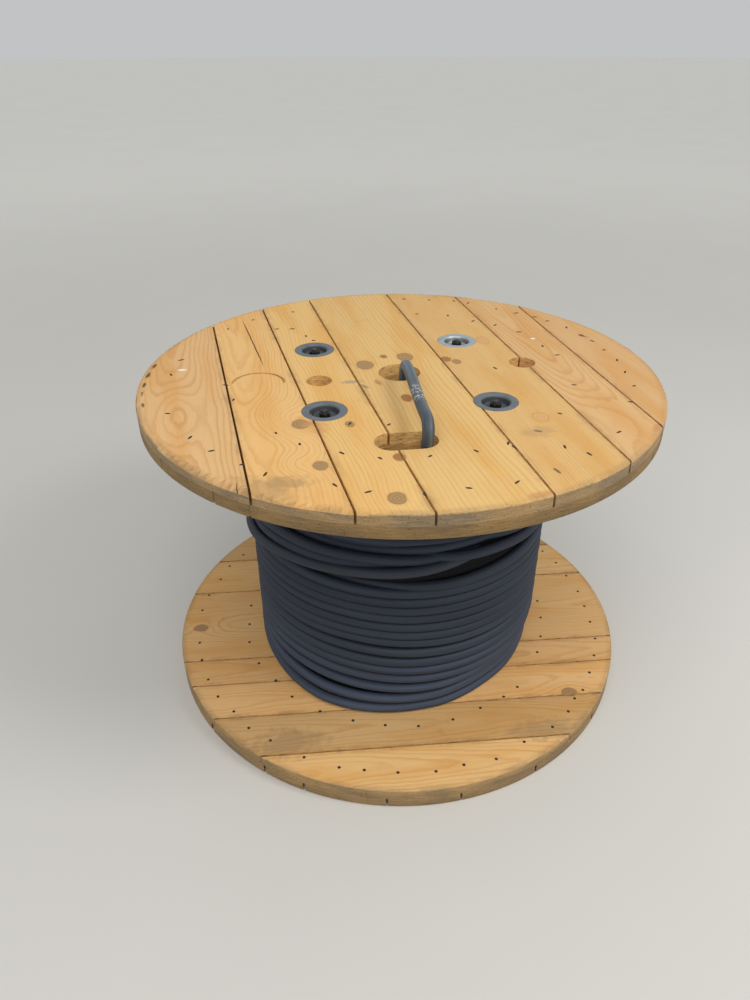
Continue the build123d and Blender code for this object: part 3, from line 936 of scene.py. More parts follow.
class WornBoard:
    """Copy of a board whose open arris at the rim is rounded and frayed by handling.

    The solid's narrow chamfer becomes a quarter of an oval. Its width and height change round the
    rim, most at the front left, and its rows of points are shifted by noise, like torn fibres.
    """

    chamfer = 0.0025
    joint_half = 0.002
    band_from = SIZES.flange_radius - chamfer - 0.0006
    rim_from = SIZES.flange_radius - chamfer - 0.0005
    same_place = 1e-4
    cuts = 4
    stretch = 0.0052
    crease = 12.0
    columns_per_degree = 2.5
    columns = 900

    def __init__(self, node: bpy.types.Object, number: int) -> None:
        """Takes the solid and its number in the upper flange's outer layer."""
        self.node = node
        self.number = number
        draw = np.random.default_rng(77)
        self.fray = np.clip(draw.normal(0.0, 1.0, (self.cuts + 2, self.columns)), -1.8, 1.8)

    def wear(self, angle: Array) -> tuple[Array, Array]:
        """Width and height of the worn arris at angles in radians."""
        degrees = np.degrees(angle)
        left = np.exp(-(((degrees + 130) / 34) ** 2))
        width = 0.0042 + 0.0012 * waves(angle, 91, 24) + 0.0070 * left
        height = 0.0040 + 0.0008 * waves(angle, 92, 30) + 0.0045 * left
        return np.clip(width, 0.0026, None), np.clip(height, 0.0026, None)

    def shaped(self, places: Array) -> Array:
        """Places of the mesh's points once the arris is worn.

        Formula: a point's share of the way up the chamfer becomes a quarter turn. The radius falls
        by the width times one less its cosine, and the height runs from the arris's foot by its
        height times its sine. Noise then moves the rows between.
        """
        x, y, z = places.T
        radius, angle = np.hypot(x, y), np.arctan2(y, x)
        rim, top = SIZES.flange_radius, SIZES.top
        band = radius > self.band_from
        share = np.clip((z - top + self.chamfer) / self.chamfer, 0.0, 1.0)
        width, height = self.wear(angle)
        quarter = share * math.pi / 2
        row = np.rint(share * (self.cuts + 1)).astype(int)
        column = np.rint(np.degrees(angle) * self.columns_per_degree).astype(int) % self.columns
        fray = self.fray[row, column]
        between = np.sin(2 * quarter)
        new_radius = rim - width * (1 - np.cos(quarter)) - 0.0006 * fray * between
        new_radius = new_radius - 0.0008 * np.abs(fray) * (row == self.cuts + 1)
        new_height = top - height * (1 - np.sin(quarter)) + 0.0005 * fray * between
        wall = share <= 0
        new_radius = np.where(wall, rim - 0.00025 * np.abs(self.fray[1, column]), new_radius)
        below = wall & (z <= top - self.chamfer - self.same_place)
        new_height = np.where(below, z, new_height)
        new = np.stack([new_radius * np.cos(angle), new_radius * np.sin(angle), new_height], 1)
        moved = np.where(band[:, None], new, places)
        return self.slid(places, moved, np.where(band, new_radius, radius))

    def slid(self, places: Array, moved: Array, radius: Array) -> Array:
        """Keeps the joints straight: a point on a joint's wall slides along that wall.

        Formula: the distance along the grain is the root of the new radius squared less the
        distance across the grain squared, and the wall's slope moves the point across with it.
        """
        ahead, across = np.array(UPPER_OUTER.ahead()[:2]), np.array(UPPER_OUTER.across()[:2])
        along, aside = places[:, :2] @ ahead, places[:, :2] @ across
        out = moved.copy()
        at_rim = np.hypot(*places[:, :2].T) > self.band_from
        edges, slopes = UPPER_OUTER.edges(self.number), UPPER_OUTER.slopes(self.number)
        for edge, slope, gap in zip(edges, slopes, (self.joint_half, -self.joint_half)):
            off = np.abs(aside - edge - slope * along - gap)
            on_wall = at_rim & (off < 0.0004) & (radius < 0.4999)
            new_along = np.sign(along) * np.sqrt(np.maximum(radius**2 - aside**2, 0.0))
            new_aside = aside + slope * (new_along - along)
            plan = new_along[:, None] * ahead + new_aside[:, None] * across
            out[:, :2] = np.where(on_wall[:, None], plan, out[:, :2])
        return out

    def on_rim(self, edge: bmesh.types.BMEdge) -> bool:
        """Whether an edge follows the rim: its ends and its middle lie in the rim's band."""
        first, second = (vert.co.xy for vert in edge.verts)
        middle = (first + second) / 2
        return min(first.length, second.length, middle.length) > self.rim_from

    def rise(self, edge: bmesh.types.BMEdge) -> float:
        """Difference in height between an edge's ends."""
        return abs(edge.verts[0].co.z - edge.verts[1].co.z)

    def is_chord(self, edge: bmesh.types.BMEdge) -> bool:
        """Whether an edge cuts across the open face between two points of the rim."""
        ends = [vert.co for vert in edge.verts]
        return (
            min(end.xy.length for end in ends) > self.rim_from
            and min(end.z for end in ends) > SIZES.top - self.same_place
            and not self.on_rim(edge)
            and all(face.normal.z > 0.999 for face in edge.link_faces)
        )

    def make(self, name: str, finish: bpy.types.Material) -> bpy.types.Object:
        """Build the copy."""
        shape = bmesh.new()
        shape.from_mesh(self.node.data)
        shape.transform(self.node.matrix_world)
        bmesh.ops.remove_doubles(shape, verts=shape.verts, dist=1e-5)
        flat = math.radians(0.4)
        bmesh.ops.dissolve_limit(shape, angle_limit=flat, verts=shape.verts, edges=shape.edges)
        chords = [edge for edge in shape.edges if self.is_chord(edge)]
        bmesh.ops.dissolve_edges(shape, edges=chords)
        slanted = [
            edge
            for edge in filter(self.on_rim, shape.edges)
            if self.rise(edge) > 0.9 * self.chamfer
            and min(vert.co.z for vert in edge.verts) > SIZES.top - self.chamfer - self.same_place
            and edge.calc_length() < 2 * self.chamfer
        ]
        bmesh.ops.subdivide_edges(shape, edges=slanted, cuts=self.cuts, use_grid_fill=True)
        level = [
            edge
            for edge in filter(self.on_rim, shape.edges)
            if self.rise(edge) < 1e-5 and edge.calc_length() > 1.5 * self.stretch
        ]
        longest = max(edge.calc_length() for edge in level)
        cuts = max(1, round(longest / self.stretch) - 1)
        bmesh.ops.subdivide_edges(shape, edges=level, cuts=cuts, use_grid_fill=True)
        mesh = bpy.data.meshes.new(name)
        shape.to_mesh(mesh)
        shape.free()
        places = np.zeros(len(mesh.vertices) * 3)
        mesh.vertices.foreach_get("co", places)
        mesh.vertices.foreach_set("co", self.shaped(places.reshape(-1, 3)).ravel())
        return placed(mesh, finish, self.crease)


class Flanges:
    """The boards of flanges and barrel, which keep the solids' shapes, with softened edges."""

    arris = 0.0009
    shown = (
        ("upper_outer", 1, (217, 175, 121), 0.45, 0.05, 0.02, 0.0065, 0.6),
        ("upper_outer", 2, (226, 182, 118), 0.3, 0.06, 0.03, 0.0052, 0.5),
        ("upper_outer", 3, (223, 182, 115), -0.3, 0.05, -0.02, 0.0062, 0.42),
        ("upper_outer", 4, (218, 180, 116), 1.35, 0.06, 0.02, 0.0085, 0.42),
        ("upper_outer", 5, (213, 174, 113), -0.8, 0.04, 0.02, 0.0058, 0.5),
        ("upper_outer", 6, (211, 170, 117), 0.5, 0.04, 0.04, 0.007, 0.55),
        ("upper_outer", 7, (208, 167, 115), 1.6, 0.04, 0.02, 0.0062, 0.42),
        ("lower_inner", 1, (232, 188, 126), 0.5, 0.06, 0.04),
        ("lower_inner", 2, (206, 166, 112), 0.5, 0.05, 0.03),
        ("lower_inner", 3, (230, 184, 124), 0.4, 0.05, 0.03),
        ("lower_inner", 4, (222, 176, 118), 0.6, 0.06, 0.04),
        ("lower_inner", 5, (220, 176, 118), 0.5, 0.05, -0.04),
        ("lower_inner", 6, (222, 180, 122), 0.4, 0.06, 0.02),
    )

    def __init__(self, nodes: dict[str, bpy.types.Object]) -> None:
        """Takes the solids."""
        self.nodes = nodes
        self.finish = PineFinish()
        self.inner_finish = PineFinish(rim=linear(150, 120, 74), rim_grey=linear(124, 100, 66))
        self.lower_finish = PineFinish(rim=linear(182, 147, 98), rim_grey=linear(148, 123, 88))
        self.looks = {
            f"{layer}_board_{number}": BoardLook(linear(*tone), *rest)
            for layer, number, tone, *rest in self.shown
        }

    def dress(self) -> list[bpy.types.Object]:
        """Give each board its pine and its softened edges, and the topmost ones their worn rim."""
        made = []
        finishes = {UPPER_OUTER.name: self.finish, UPPER_INNER.name: self.inner_finish}
        for layer in (UPPER_OUTER, UPPER_INNER, LOWER_INNER, LOWER_OUTER):
            finish = finishes.get(layer.name, self.lower_finish)
            for number in range(1, len(layer.joints) + 2):
                name = f"{layer.name}_board_{number}"
                seed = 300 + len(name) * 31 + number * 7 + int(layer.bottom * 1000)
                draw = np.random.default_rng(seed)
                shade = draw.uniform(0.86, 1.02)
                # The inner layer of the upper flange, seen only down holes and joints, is painted
                # darker as shade.
                tone = linear(148, 117, 68) if layer is UPPER_INNER else linear(216, 174, 116)
                plain = BoardLook(
                    tuple(channel * shade for channel in tone),
                    draw.uniform(0.2, 0.8),
                    draw.uniform(0.03, 0.08),
                    draw.uniform(-0.05, 0.05),
                    draw.uniform(0.005, 0.007),
                )
                pine = finish.material(f"pine_{name}", layer, number, self.looks.get(name, plain))
                board = self.nodes[name]
                if layer is UPPER_OUTER:
                    worn = WornBoard(board, number).make(f"worn_board_{number}", pine)
                    board = declared(worn, name)
                    made.append(board)
                else:
                    paint(board, pine)
                self.soften(board)
        made.append(self.joint_dirt())
        self.dress_barrel()
        return made

    def dress_barrel(self) -> None:
        """Give the staves and the two discs inside the winding plain sawn pine."""
        discs = Layer("barrel_disc", UPPER_INNER.grain, (), SIZES.lower_top)
        look = BoardLook(linear(206, 164, 108), 0.4, 0.06, 0.04)
        wood = PineFinish(wall=look.tone).material("pine_barrel", discs, 1, look)
        for name in ("barrel_staves", "barrel_disc_lower", "barrel_disc_upper"):
            paint(self.nodes[name], wood)

    def joint_dirt(self) -> bpy.types.Object:
        """Dark wads packed into the far ends of the upper joints, closing them against the light:
        painted shade.

        Formula: each wad runs along its joint's line from the rim inwards, four corners a section.
        """
        wads = []
        ahead, across = np.array(UPPER_OUTER.ahead()), np.array(UPPER_OUTER.across())
        for number in range(1, len(UPPER_OUTER.joints) + 1):
            offset, slope = UPPER_OUTER.edges(number)[1], UPPER_OUTER.slopes(number)[1]
            far = -math.sqrt((SIZES.flange_radius - 0.006) ** 2 - offset**2)
            along = np.linspace(far, far + 0.07, 8)
            middle = along[:, None] * ahead + (offset + along * slope)[:, None] * across
            level = SIZES.top - 0.0045 - 0.001 * waves(along * 60, number)
            half = 0.00195 * across
            low = UPPER_OUTER.bottom + 0.0002
            foot = np.array([0.0, 0.0, low])
            head = np.stack([0 * level, 0 * level, level], axis=1)
            section = [middle - half + foot, middle + half + foot, middle + half + head]
            points = np.stack([*section, middle - half + head], axis=1)
            ends = points.mean(axis=1, keepdims=True).repeat(4, axis=1)
            points = np.concatenate([ends[:1], points, ends[-1:]])
            wads.append(Surface.grid(points, np.linspace(0.0, 0.07, len(points))))
        # Speckled dark brown of the wads: painted shade.
        sheet = Recipe("joint_dirt")
        speckle = sheet.place.noise(400.0, 3.0).fade(0.3, 0.7, 0.6, 1.2)
        wad_brown = sheet.times(linear(112, 80, 44), speckle)
        piece = Surface.join(wads).piece("joint_dirt", sheet.finish(wad_brown, 0.95))
        return declared(piece)

    def soften(self, board: bpy.types.Object) -> None:
        """Break the sharp edges of a board."""
        weld = board.modifiers.new("weld", "WELD")
        weld.merge_threshold = 1e-5
        bevel = board.modifiers.new("arris", "BEVEL")
        bevel.width = self.arris
        bevel.segments = 2
        bevel.limit_method = "ANGLE"
        bevel.angle_limit = math.radians(50)


class Fixings:
    """Dished washers, nuts, and the ends of the tie bolts."""

    rim_radius = 0.041
    mouth_radius = 0.027
    floor_radius = 0.0215
    depth = 0.013
    sheet = 0.002
    hole = 0.0065
    upper_rim = 0.6588
    lower_rim = 0.001
    nut_across = 0.019
    nut_height = 0.010
    nut_turn = 15.0

    def __init__(self, nodes: dict[str, bpy.types.Object]) -> None:
        """Takes the solids, and makes the steels."""
        self.nodes = nodes
        plated = SteelFinish(linear(102, 109, 114), linear(80, 87, 92), 0.5, 0.5, 0.35)
        zinc = SteelFinish(linear(162, 170, 171), linear(126, 132, 130), 0.34, 0.2, 0.75)
        black = SteelFinish(linear(34, 32, 31), linear(20, 19, 19), 0.45, 0.5, 0.5)
        plain = SteelFinish(linear(70, 70, 68), linear(42, 40, 38), 0.45, 0.5, 0.8, 0.0018)
        self.blued = replace(plated, shaded=0.19).material("steel_blued")
        self.under = plated.material("steel_blued_under")
        self.bright = replace(zinc, shaded=0.36).material("zinc_bright")
        self.dark = black.material("nut_dark")
        self.bolt = plain.material("bolt_steel")

    def cup_profile(self) -> Array:
        """Closed section of a washer, heights from the top of its rim.

        Formula: listed corners, out along the underside and back along the top, with the rim
        and the mouth rounded, then softened by cutting the corners twice.
        """
        s = self.sheet
        corners = [
            (self.hole, -self.depth - s),
            (self.floor_radius - 0.001, -self.depth - s),
            (self.floor_radius + s, -self.depth - s + 0.0012),
            (self.mouth_radius + s * 0.8, -s - 0.0012),
            (self.mouth_radius + s + 0.001, -s),
            (self.rim_radius - 0.0006, -s),
            (self.rim_radius, -s + 0.0004),
            (self.rim_radius, -0.0010),
            (self.rim_radius - 0.0016, -0.0001),
            (self.mouth_radius + 0.0055, 0.0),
            (self.mouth_radius + 0.0016, -0.0003),
            (self.mouth_radius - 0.0002, -0.0022),
            (self.floor_radius + 0.0006, -self.depth + 0.0016),
            (self.floor_radius - 0.0018, -self.depth),
            (self.hole, -self.depth),
        ]
        return softened(np.array(corners), 2, 0.22)

    def nut(self, centre: tuple[float, float], turn: float) -> Surface:
        """Hexagon nut with turned corners and a hole.

        Formula: round the nut the radius is the smaller of the hexagon's, half its width over the
        cosine of the angle from the middle of its flat, and a cone's, which grows away from the
        two end faces.
        """
        angle = circle(72)
        flat = np.mod(angle - math.radians(turn) + math.pi / 6, math.pi / 3) - math.pi / 6
        hexagon = self.nut_across / 2 / np.cos(flat)
        h = self.nut_height
        heights = np.array([0.0, 0.0, 0.0006, 0.0014, h - 0.0014, h - 0.0006, h, h, h - 0.0008])
        cone = np.array([0.0062, 0.0092, 0.0101, 0.0115, 0.0115, 0.0101, 0.0092, 0.0069, 0.0061])
        radius = np.minimum(hexagon[None, :], cone[:, None])
        points = np.stack(
            [
                centre[0] + radius * np.cos(angle),
                centre[1] + radius * np.sin(angle),
                np.broadcast_to(heights[:, None], radius.shape) + self.upper_rim - self.depth,
            ],
            axis=-1,
        )
        return Surface.grid(points, np.linspace(0.0, 0.03, len(heights) + 1), rows_closed=True)

    def make(self) -> list[bpy.types.Object]:
        """Build the washers and nuts, and dress the bolts."""
        made = []
        profile = self.cup_profile()
        for number, (x, y) in enumerate(SIZES.bolt_places(), start=1):
            upper = profile + np.array([0.0, self.upper_rim])
            lower = (profile * np.array([1.0, -1.0]))[::-1] + np.array([0.0, self.lower_rim])
            steel = self.bright if number == 1 else self.blued
            slot = "zinc_bright" if number == 1 else "steel_blued"
            sides = (("upper", upper, steel, slot), ("lower", lower, self.under, "steel_blued"))
            for side, section, finish, place in sides:
                cup = lathe(section, (x, y), 72).piece(f"washer_{side}_{number}", finish, 50.0)
                made.append(declared(cup, f"cup_washer_{side}_{number}"))
            turn = SIZES.bolt_angles[number - 1] + self.nut_turn
            nut = self.nut((x, y), turn).piece(f"nut_{number}", self.dark, 28.0)
            made.append(declared(nut, f"hex_nut_{number}"))
            paint(self.nodes[f"tie_bolt_{number}"], self.bolt)
        return made


class Nails:
    """Nail points on the upper flange and nail heads on the lower one, pressed into the boards."""

    upper_marks = (
        (-85, -328), (-36, -443), (-23, -342), (-80, -224), (-295, -330), (-341, -286),
        (-403, -199), (-196, -399), (-201, -264), (-188, 165), (-207, 191), (-258, 348),
        (-278, 232), (-244, 234), (-387, 228), (-342, 289), (-444, 45), (-444, -30), (-327, -74),
        (-299, -138), (-237, -371), (-87, -426), (2, 455), (64, 450), (124, 444), (158, 430),
        (222, 388), (266, 361), (306, 335), (331, 309), (368, 268), (392, 221), (409, 186),
        (424, 135), (439, 81), (441, 20), (443, -46), (420, -117), (34, 345), (106, 337),
        (162, 302), (210, 277), (259, 235), (299, 152), (322, 103), (189, 29), (331, -46),
        (285, -170), (274, -292), (309, -314), (373, -236), (184, -283), (192, -296), (56, -332),
        (130, -312), (185, -406), (112, -426), (46, -444), (-13, -225), (-156, -301),
    )
    outer_angles = (
        -34, -39, -46, -55, -64, -72, -79, -88, -96, -102, 153, 160, 167, 175, -178, -164, -157,
        -149, -142, -135, -128, -121, -111, 34, 27, 20, 12, 5, -2, -9, -16, -23, -30,
        41, 49, 57, 64, 72, 81, 89, 97, 104, 112, 121, 129, 137, 145,
    )
    inner_angles = (
        -103, -92, -81, -69, -58, -48, 179, -170, -160, -148, -137, -127, -115, 9, -1, -12, -21,
        -41, 21, 34, 46, 58, 70, 83, 95, 107, 119, 132, 144, 156, 168,
    )
    head_radius = 0.0032

    def __init__(self) -> None:
        """Make the two steels."""
        tip = SteelFinish(linear(58, 50, 42), linear(34, 28, 22), 0.6, 0.6, 0.3)
        head = SteelFinish(linear(62, 54, 46), linear(38, 31, 25), 0.6, 0.5, 0.3)
        self.tip_steel = tip.material("nail_tip")
        self.head_steel = head.material("nail_head")

    def tip(self, place: tuple[float, float], angle: float, length: float) -> Surface:
        """A nail point bent over and driven flush: a tapered tube, thickest in the middle.

        Formula: radius is the square root of the share along it times what is left of it.
        """
        share = np.linspace(0.0, 1.0, 7)
        ahead = np.array([math.cos(angle), math.sin(angle), 0.0])
        path = np.array([*place, SIZES.top + 0.0001]) + (share[:, None] - 0.5) * length * ahead
        path[:, 2] -= 0.0006 * (2 * share - 1) ** 2
        radius = 0.0022 * np.sqrt(np.clip(4 * share * (1 - share), 0.05, 1.0))
        outward = np.broadcast_to(np.array([0.0, 0.0, 1.0]), path.shape)
        flat = tube(path, outward, radius, 8)
        flat.points[:, 2] = SIZES.top + (flat.points[:, 2] - SIZES.top) * 0.45
        return flat

    def head(self, place: tuple[float, float], height: float, radius: float) -> Surface:
        """Nail head: a low dome over a short wall, closed at its pole."""
        reach = radius * np.array([0.0, 1.0, 1.0, 0.7, 0.0])
        level = height + np.array([-0.0015, -0.0015, 0.0002, 0.0005, 0.0006])
        return lathe(np.stack([reach, level], axis=1), place, 12, closed=False)

    def make(self) -> list[bpy.types.Object]:
        """Build the nails of both flanges as two pieces."""
        draw = np.random.default_rng(41)
        tips = []
        for x, y in self.upper_marks:
            angle = math.atan2(y, x) + draw.uniform(-1.3, 1.3)
            tips.append(self.tip((x / 1000, y / 1000), angle, draw.uniform(0.008, 0.015)))
        heads = []
        for radius, angles in ((0.4605, self.outer_angles), (0.3465, self.inner_angles)):
            for angle in angles:
                reach = radius + draw.uniform(-0.005, 0.005)
                turn = math.radians(angle)
                place = (reach * math.cos(turn), reach * math.sin(turn))
                heads.append(self.head(place, SIZES.lower_top, self.head_radius))
        points = Surface.join(tips).piece("nail_points_upper", self.tip_steel)
        domes = Surface.join(heads).piece("nail_heads_lower", self.head_steel)
        return [declared(piece) for piece in (points, domes)]


class Winding:
    """The wound cable: the outer layer's turns, the slack turns, and the turns under them.

    The outer layer is one line that goes down as it goes round. Across the front its heights come
    from a table, one row a turn and one column for each of a few angles, and round the back they
    run on evenly to the next turn's first column.
    """

    columns = np.array([-125.0, -105.0, -88.0, -70.0, -48.0])
    grooves = np.array(
        [
            [366, 362, 359, 356, 355],
            [344, 343, 339, 337, 334],
            [324, 323, 319, 316, 313],
            [303, 304, 299, 296, 292],
            [283, 284, 279, 275, 268],
            [260, 262, 257, 254, 250],
            [244, 246, 241, 235, 231],
            [223, 224, 218, 213, 208],
            [197, 195, 188, 185, 182],
            [176, 171, 166, 164, 162],
            [155, 152, 146, 143, 140],
            [129, 124, 120, 119, 117],
            [98, 93, 90, 91, 95],
            [68, 66, 65, 67, 72],
            [44, 44, 44, 44, 44],
        ],
        dtype=float,
    )
    first_turn = np.array([366.0, 359.5, 357.5, 360.5, 364.5])
    lowest_turn_out = (
        (-180.0, -160.0, -145.0, -130.0, -117.0, -103.0, -92.0, -80.0, 180.0),
        (0.0, 0.0, 0.003, 0.010, 0.017, 0.013, 0.007, 0.0, 0.0),
    )
    lowest_turn_in = (
        (-180.0, -82.0, -71.0, -62.0, -50.0, -20.0, 10.0, 40.0, 180.0),
        (0.0, 0.0, -0.002, -0.007, -0.012, -0.012, -0.004, 0.0, 0.0),
    )
    raised_turn = (
        (-180, 348, 315), (-163, 354, 315.5), (-150, 365, 314), (-143, 374, 311.5),
        (-137, 378.5, 309), (-128, 384.7, 308.2), (-118, 389.5, 308), (-109, 395, 308),
        (-102, 398.5, 308), (-95, 399, 308), (-88, 401, 307.5), (-81, 403.5, 306.5),
        (-75, 405.5, 303.5), (-68, 407, 296), (-60, 408, 284), (-50, 408, 280), (-20, 400, 281),
        (60, 395, 295), (120, 380, 308), (150, 360, 314), (180, 348, 315),
    )
    other_turns = (
        (
            (-180, 442, 282), (-110, 438, 280), (-90, 429, 280), (-80, 423, 284),
            (-73, 419, 291.5), (-66, 417.5, 297), (-60, 416.5, 300), (-50, 413.5, 301.5),
            (-44, 409, 301.5), (-36, 401, 301.5), (-20, 393, 301.5), (0, 392, 301.5),
            (60, 398, 301.5), (110, 410, 300), (150, 430, 290), (180, 442, 282),
        ),
        (
            (-180, 395, 301), (-147, 413, 301), (-138, 420, 301), (-129, 424, 301.5),
            (-118, 425, 301.5), (-109, 426.5, 301.5), (-102, 427, 301), (-95, 425.5, 300.5),
            (-88, 423.5, 298.5), (-81, 420.5, 295), (-74, 418, 290), (-60, 415, 280),
            (-30, 410, 280), (60, 405, 290), (120, 398, 299), (180, 395, 301),
        ),
        (
            (-180, 374, 301), (-148, 388, 301), (-138, 397.5, 301), (-129, 403, 300.5),
            (-118, 406, 300.5), (-109, 408, 299), (-102, 409, 296), (-95, 408, 290),
            (-85, 405, 282), (-60, 399, 280), (60, 385, 285), (120, 378, 296), (180, 374, 301),
        ),
        (
            (-180, 458, 282), (-60, 442, 280), (-52, 440, 290), (-40, 432, 299), (-25, 422, 301),
            (0, 413, 301.5), (60, 419, 301.5), (110, 435, 300), (150, 450, 290), (180, 458, 282),
        ),
        (
            (-180, 430, 280), (-20, 445, 290), (0, 435, 300.5), (60, 440, 301), (100, 448, 299),
            (130, 445, 285), (180, 430, 280),
        ),
    )
    steps = 96
    sides = 16

    def __init__(self) -> None:
        """Make the sheaths; the nearly black one is painted shade for the under turns and the core.
        """
        sheath_shaded_by_height = linear(42, 49, 62), linear(52, 60, 74), linear(84, 91, 99)
        slack = linear(46, 52, 62), linear(56, 62, 73), linear(120, 124, 128)
        # Nearly black tones: painted shade on the cable deep under the outer layer.
        dark = linear(5, 6, 10), linear(8, 10, 15), linear(14, 16, 20)
        # The outer turns get painted light and shade by height in their sheath.
        self.outer = SheathFinish(*sheath_shaded_by_height, 0.72, 0.62, sheath_shaded_by_height=True).material("sheath_outer")
        self.slack = SheathFinish(*slack, 0.66, 0.62).material("sheath_slack")
        self.painted_shade_sheath = SheathFinish(*dark, 0.8, 0.85).material("sheath_under")
        self.crown_radius = SIZES.winding_bore + 2.5 * SIZES.cable

    def ring(self, angles: Array, radius: Array, height: Array, closed: bool = False) -> Surface:
        """Cable along a line given by angle, distance from the axis and height."""
        turn = np.radians(angles)
        outward = np.stack([np.cos(turn), np.sin(turn), np.zeros_like(turn)], axis=1)
        path = outward * radius[:, None]
        path[:, 2] = height
        return tube(path, outward, np.full(len(angles), SIZES.cable / 2), self.sides, closed)

    def lower_turns(self) -> Surface:
        """The outer layer under the slack turns, as one line from its top turn to the flange."""
        middles = np.vstack([self.first_turn, (self.grooves[:-1] + self.grooves[1:]) / 2])
        middles[-1] = 44.0 + 500 * SIZES.cable
        turns = len(middles)
        knots_angle = (self.columns[None, :] + 360 * np.arange(turns)[:, None]).ravel()
        total = np.arange(-150.0, 360.0 * (turns - 1) + 235.0, 360.0 / self.steps)
        height = np.interp(total, knots_angle, middles.ravel()) / 1000
        height = np.where(total > knots_angle[-1], middles[-1, -1] / 1000, height)
        height = averaged(height, 9, "edge")
        wobble = waves(np.radians(total), 5) * 0.0006 + waves(np.radians(total * 0.37), 8) * 0.0007
        sunk = 1 - ease(total, -112.0, -62.0)
        row = (total + 125.0) / 360.0
        side = np.mod(total + 180.0, 360.0) - 180.0
        bulge = 0.85 * np.interp(side, *self.lowest_turn_out)
        hollow = np.interp(side, *self.lowest_turn_in)
        stray = bulge * ease(row, turns - 3.0, turns - 1.1)
        stray = stray + hollow * ease(row, turns - 5.0, turns - 1.0)
        radius = self.crown_radius + wobble - 0.019 * sunk + stray
        return self.ring(total, radius, np.maximum(height, SIZES.lower_top + SIZES.cable / 2))

    def upper_turns(self) -> Surface:
        """The outer layer over the slack turns, whose last part dives into the second layer."""
        total = np.arange(-180.0, 2345.0, 360.0 / self.steps)
        pitch = 0.0209
        height = SIZES.upper_bottom - SIZES.cable / 2 - 0.0006 - pitch * (total + 180.0) / 360.0
        front = np.cos(np.radians(total + 85.0))
        height = height - 0.0012 * front * ease(total, 360.0, 1800.0)
        wobble = waves(np.radians(total * 0.61), 21) * 0.0008
        radius = self.crown_radius + wobble - SIZES.cable * ease(total, 2230.0, 2330.0)
        return self.ring(total, radius, height)

    def under_turns(self) -> Surface:
        """Turns of the second layer, seen where the outer layer has slackened, nearly black as
        painted shade.
        """
        heights = 0.372 + 0.0212 * np.arange(5)
        rings = []
        for number, height in enumerate(heights):
            angles = np.arange(0.0, 360.0, 360.0 / self.steps)
            wobble = waves(np.radians(angles), 60 + number) * 0.001
            radius = self.crown_radius - SIZES.cable + wobble
            level = height + waves(np.radians(angles), 70 + number) * 0.0012
            rings.append(self.ring(angles, radius, level, closed=True))
        return Surface.join(rings)

    def loose(self, table: tuple[tuple[float, float, float], ...], width: int = 11) -> Surface:
        """A closed slack turn.

        Formula: its height and its distance from the axis run straight between the table's
        angles, and are then averaged over a bell of points.

        Args:
            table: rows of angle in degrees, height and distance from the axis in millimetres.
            width: points under the bell, an odd number.

        Returns:
            The turn.
        """
        angles = np.arange(-180.0, 180.0, 360.0 / self.steps)
        turn, height, radius = np.array(table).T / np.array([[1.0], [1000.0], [1000.0]])
        height, radius = (
            averaged(np.interp(angles, turn, line), width, "wrap") for line in (height, radius)
        )
        return self.ring(angles, radius, height, closed=True)

    def core(self) -> Surface:
        """Drum of the layers inside, nearly black as painted shade, a wall with shallow waves
        behind the turns.

        Formula: the radius is that of the second layer's middle, with a cosine of height added.
        """
        heights = np.linspace(SIZES.lower_top + 0.001, SIZES.upper_bottom - 0.001, 140)
        radius = self.crown_radius - 0.016 + 0.003 * np.cos(2 * math.pi * heights / 0.0212)
        bottom = np.array([(SIZES.winding_bore + 0.0005, heights[0])])
        top = np.array([(SIZES.winding_bore + 0.0005, heights[-1])])
        profile = np.concatenate([bottom, np.stack([radius, heights], axis=1), top])
        return lathe(profile, (0.0, 0.0), 96)

    def make(self) -> list[bpy.types.Object]:
        """Build the winding's pieces."""
        outer = Surface.join([self.lower_turns(), self.upper_turns()])
        winding = outer.piece("winding_outer_turns", self.outer)
        under = self.under_turns().piece("winding_under_turns", self.painted_shade_sheath)
        core = self.core().piece("winding_core", self.painted_shade_sheath)
        raised = self.loose(self.raised_turn).piece("slack_turn_raised", self.slack)
        others = Surface.join([self.loose(table, 7) for table in self.other_turns])
        sunken = others.piece("slack_turns_sunken", self.outer)
        stands_for = {
            winding: "cable_winding",
            under: "",
            core: "",
            raised: "cable_loose_turn_lower",
            sunken: "cable_loose_turn_upper",
        }
        return [declared(piece, solid) for piece, solid in stands_for.items()]


